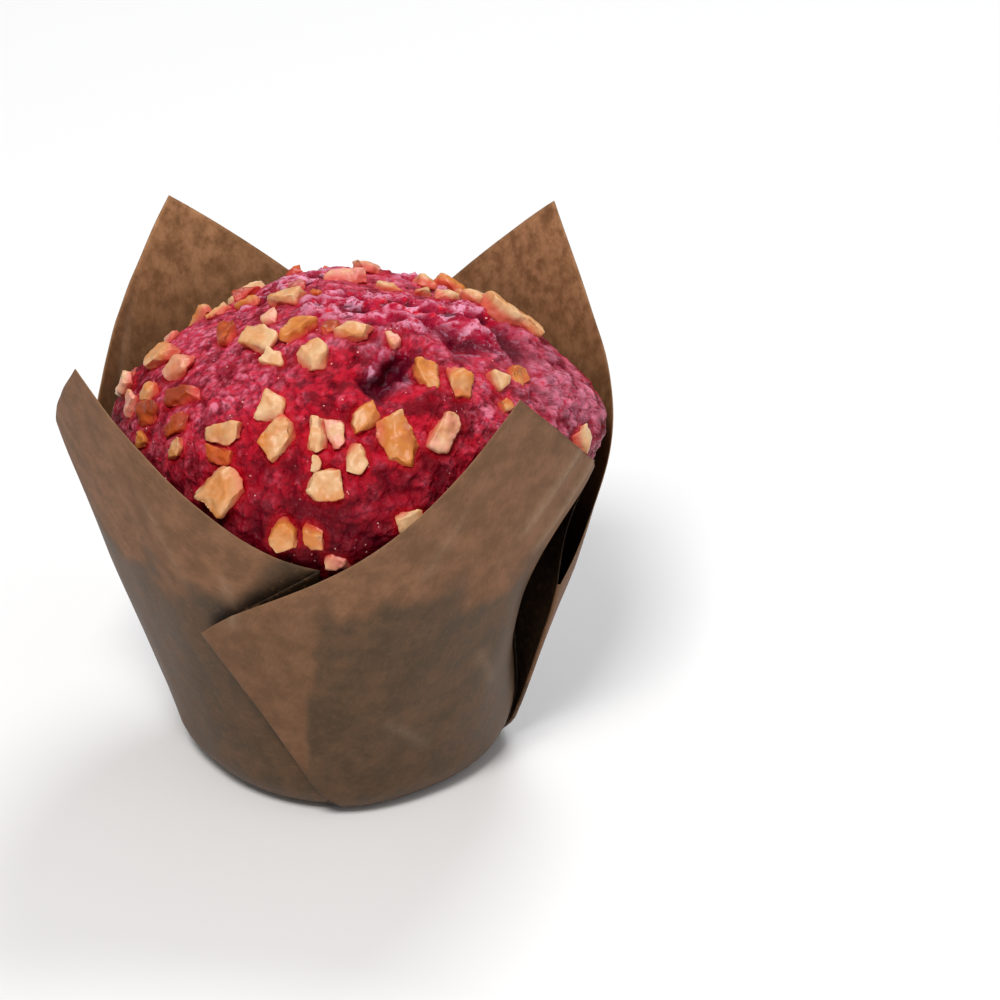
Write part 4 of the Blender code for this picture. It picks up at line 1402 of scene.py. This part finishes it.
# %% Ride and replace
for piece in (cake, pale_nuts, toasted_nuts):
    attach(piece, "root")
    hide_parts("muffin")
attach(paper, "root")
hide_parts("paper_case")
print("pieces that ride on the root:", cake.name, pale_nuts.name, toasted_nuts.name, paper.name)

# %% [markdown]
# ## Floor, light and camera
#
# The muffin stands on a plain pale floor in soft studio light. One large lamp from above and
# in front models the forms, a weaker one fills the right, and a third behind the muffin puts a cool
# edge on the top of the dome. The camera looks down a little from the front with a long lens.

# %% The floor
def make_floor():
    bm = bmesh.new()
    bmesh.ops.create_grid(bm, x_segments=1, y_segments=1, size=3.0)
    material, _, shader = new_material("studio_floor")
    shader.inputs["Base Color"].default_value = linear(246, 246, 246)
    shader.inputs["Roughness"].default_value = 0.9
    return finish_mesh("floor", bm, (material,))


make_floor()


# %% Lights
def add_lamp(name, place, size, watts, colour):
    """A square soft lamp that looks at the muffin."""
    lamp = bpy.data.lights.new(name, "AREA")
    lamp.size = size
    lamp.energy = watts
    lamp.color = colour
    made = bpy.data.objects.new(name, lamp)
    made.location = place
    made.rotation_euler = (Vector((0.0, 0.0, 0.04)) - Vector(place)).to_track_quat("-Z", "Y").to_euler()
    bpy.context.scene.collection.objects.link(made)


add_lamp("key", (-0.2, -0.85, 1.25), 0.4, 15.0, (1.0, 0.98, 0.96))
add_lamp("fill", (1.0, -0.7, 0.7), 1.0, 2.0, (0.97, 0.98, 1.0))
add_lamp("edge", (0.3, 0.7, 1.2), 0.5, 8.0, (0.95, 0.97, 1.0))
world = bpy.data.worlds.new("studio")
world.use_nodes = True
world.node_tree.nodes["Background"].inputs["Color"].default_value = (1.0, 1.0, 1.0, 1.0)
world.node_tree.nodes["Background"].inputs["Strength"].default_value = 0.3
bpy.context.scene.world = world
bpy.context.scene.view_settings.view_transform = "Standard"
print("lamps:", ", ".join(lamp.name for lamp in bpy.data.lights))

# %% The camera
CAMERA_TILT = math.radians(27.0)
CAMERA_DISTANCE = 0.6
camera = bpy.data.objects.new("camera", bpy.data.cameras.new("camera"))
camera.data.lens = 133.9
camera.data.clip_start = 0.01
towards_camera = Vector((0.0, -math.cos(CAMERA_TILT), math.sin(CAMERA_TILT)))
camera.location = Vector((0.0245, 0.0172, 0.0338)) + towards_camera * CAMERA_DISTANCE
camera.rotation_euler = (-towards_camera).to_track_quat("-Z", "Y").to_euler()
bpy.context.scene.collection.objects.link(camera)
bpy.context.scene.camera = camera
print("the camera is", round(camera.location.z, 2), "m up, with a", round(camera.data.lens), "mm lens")
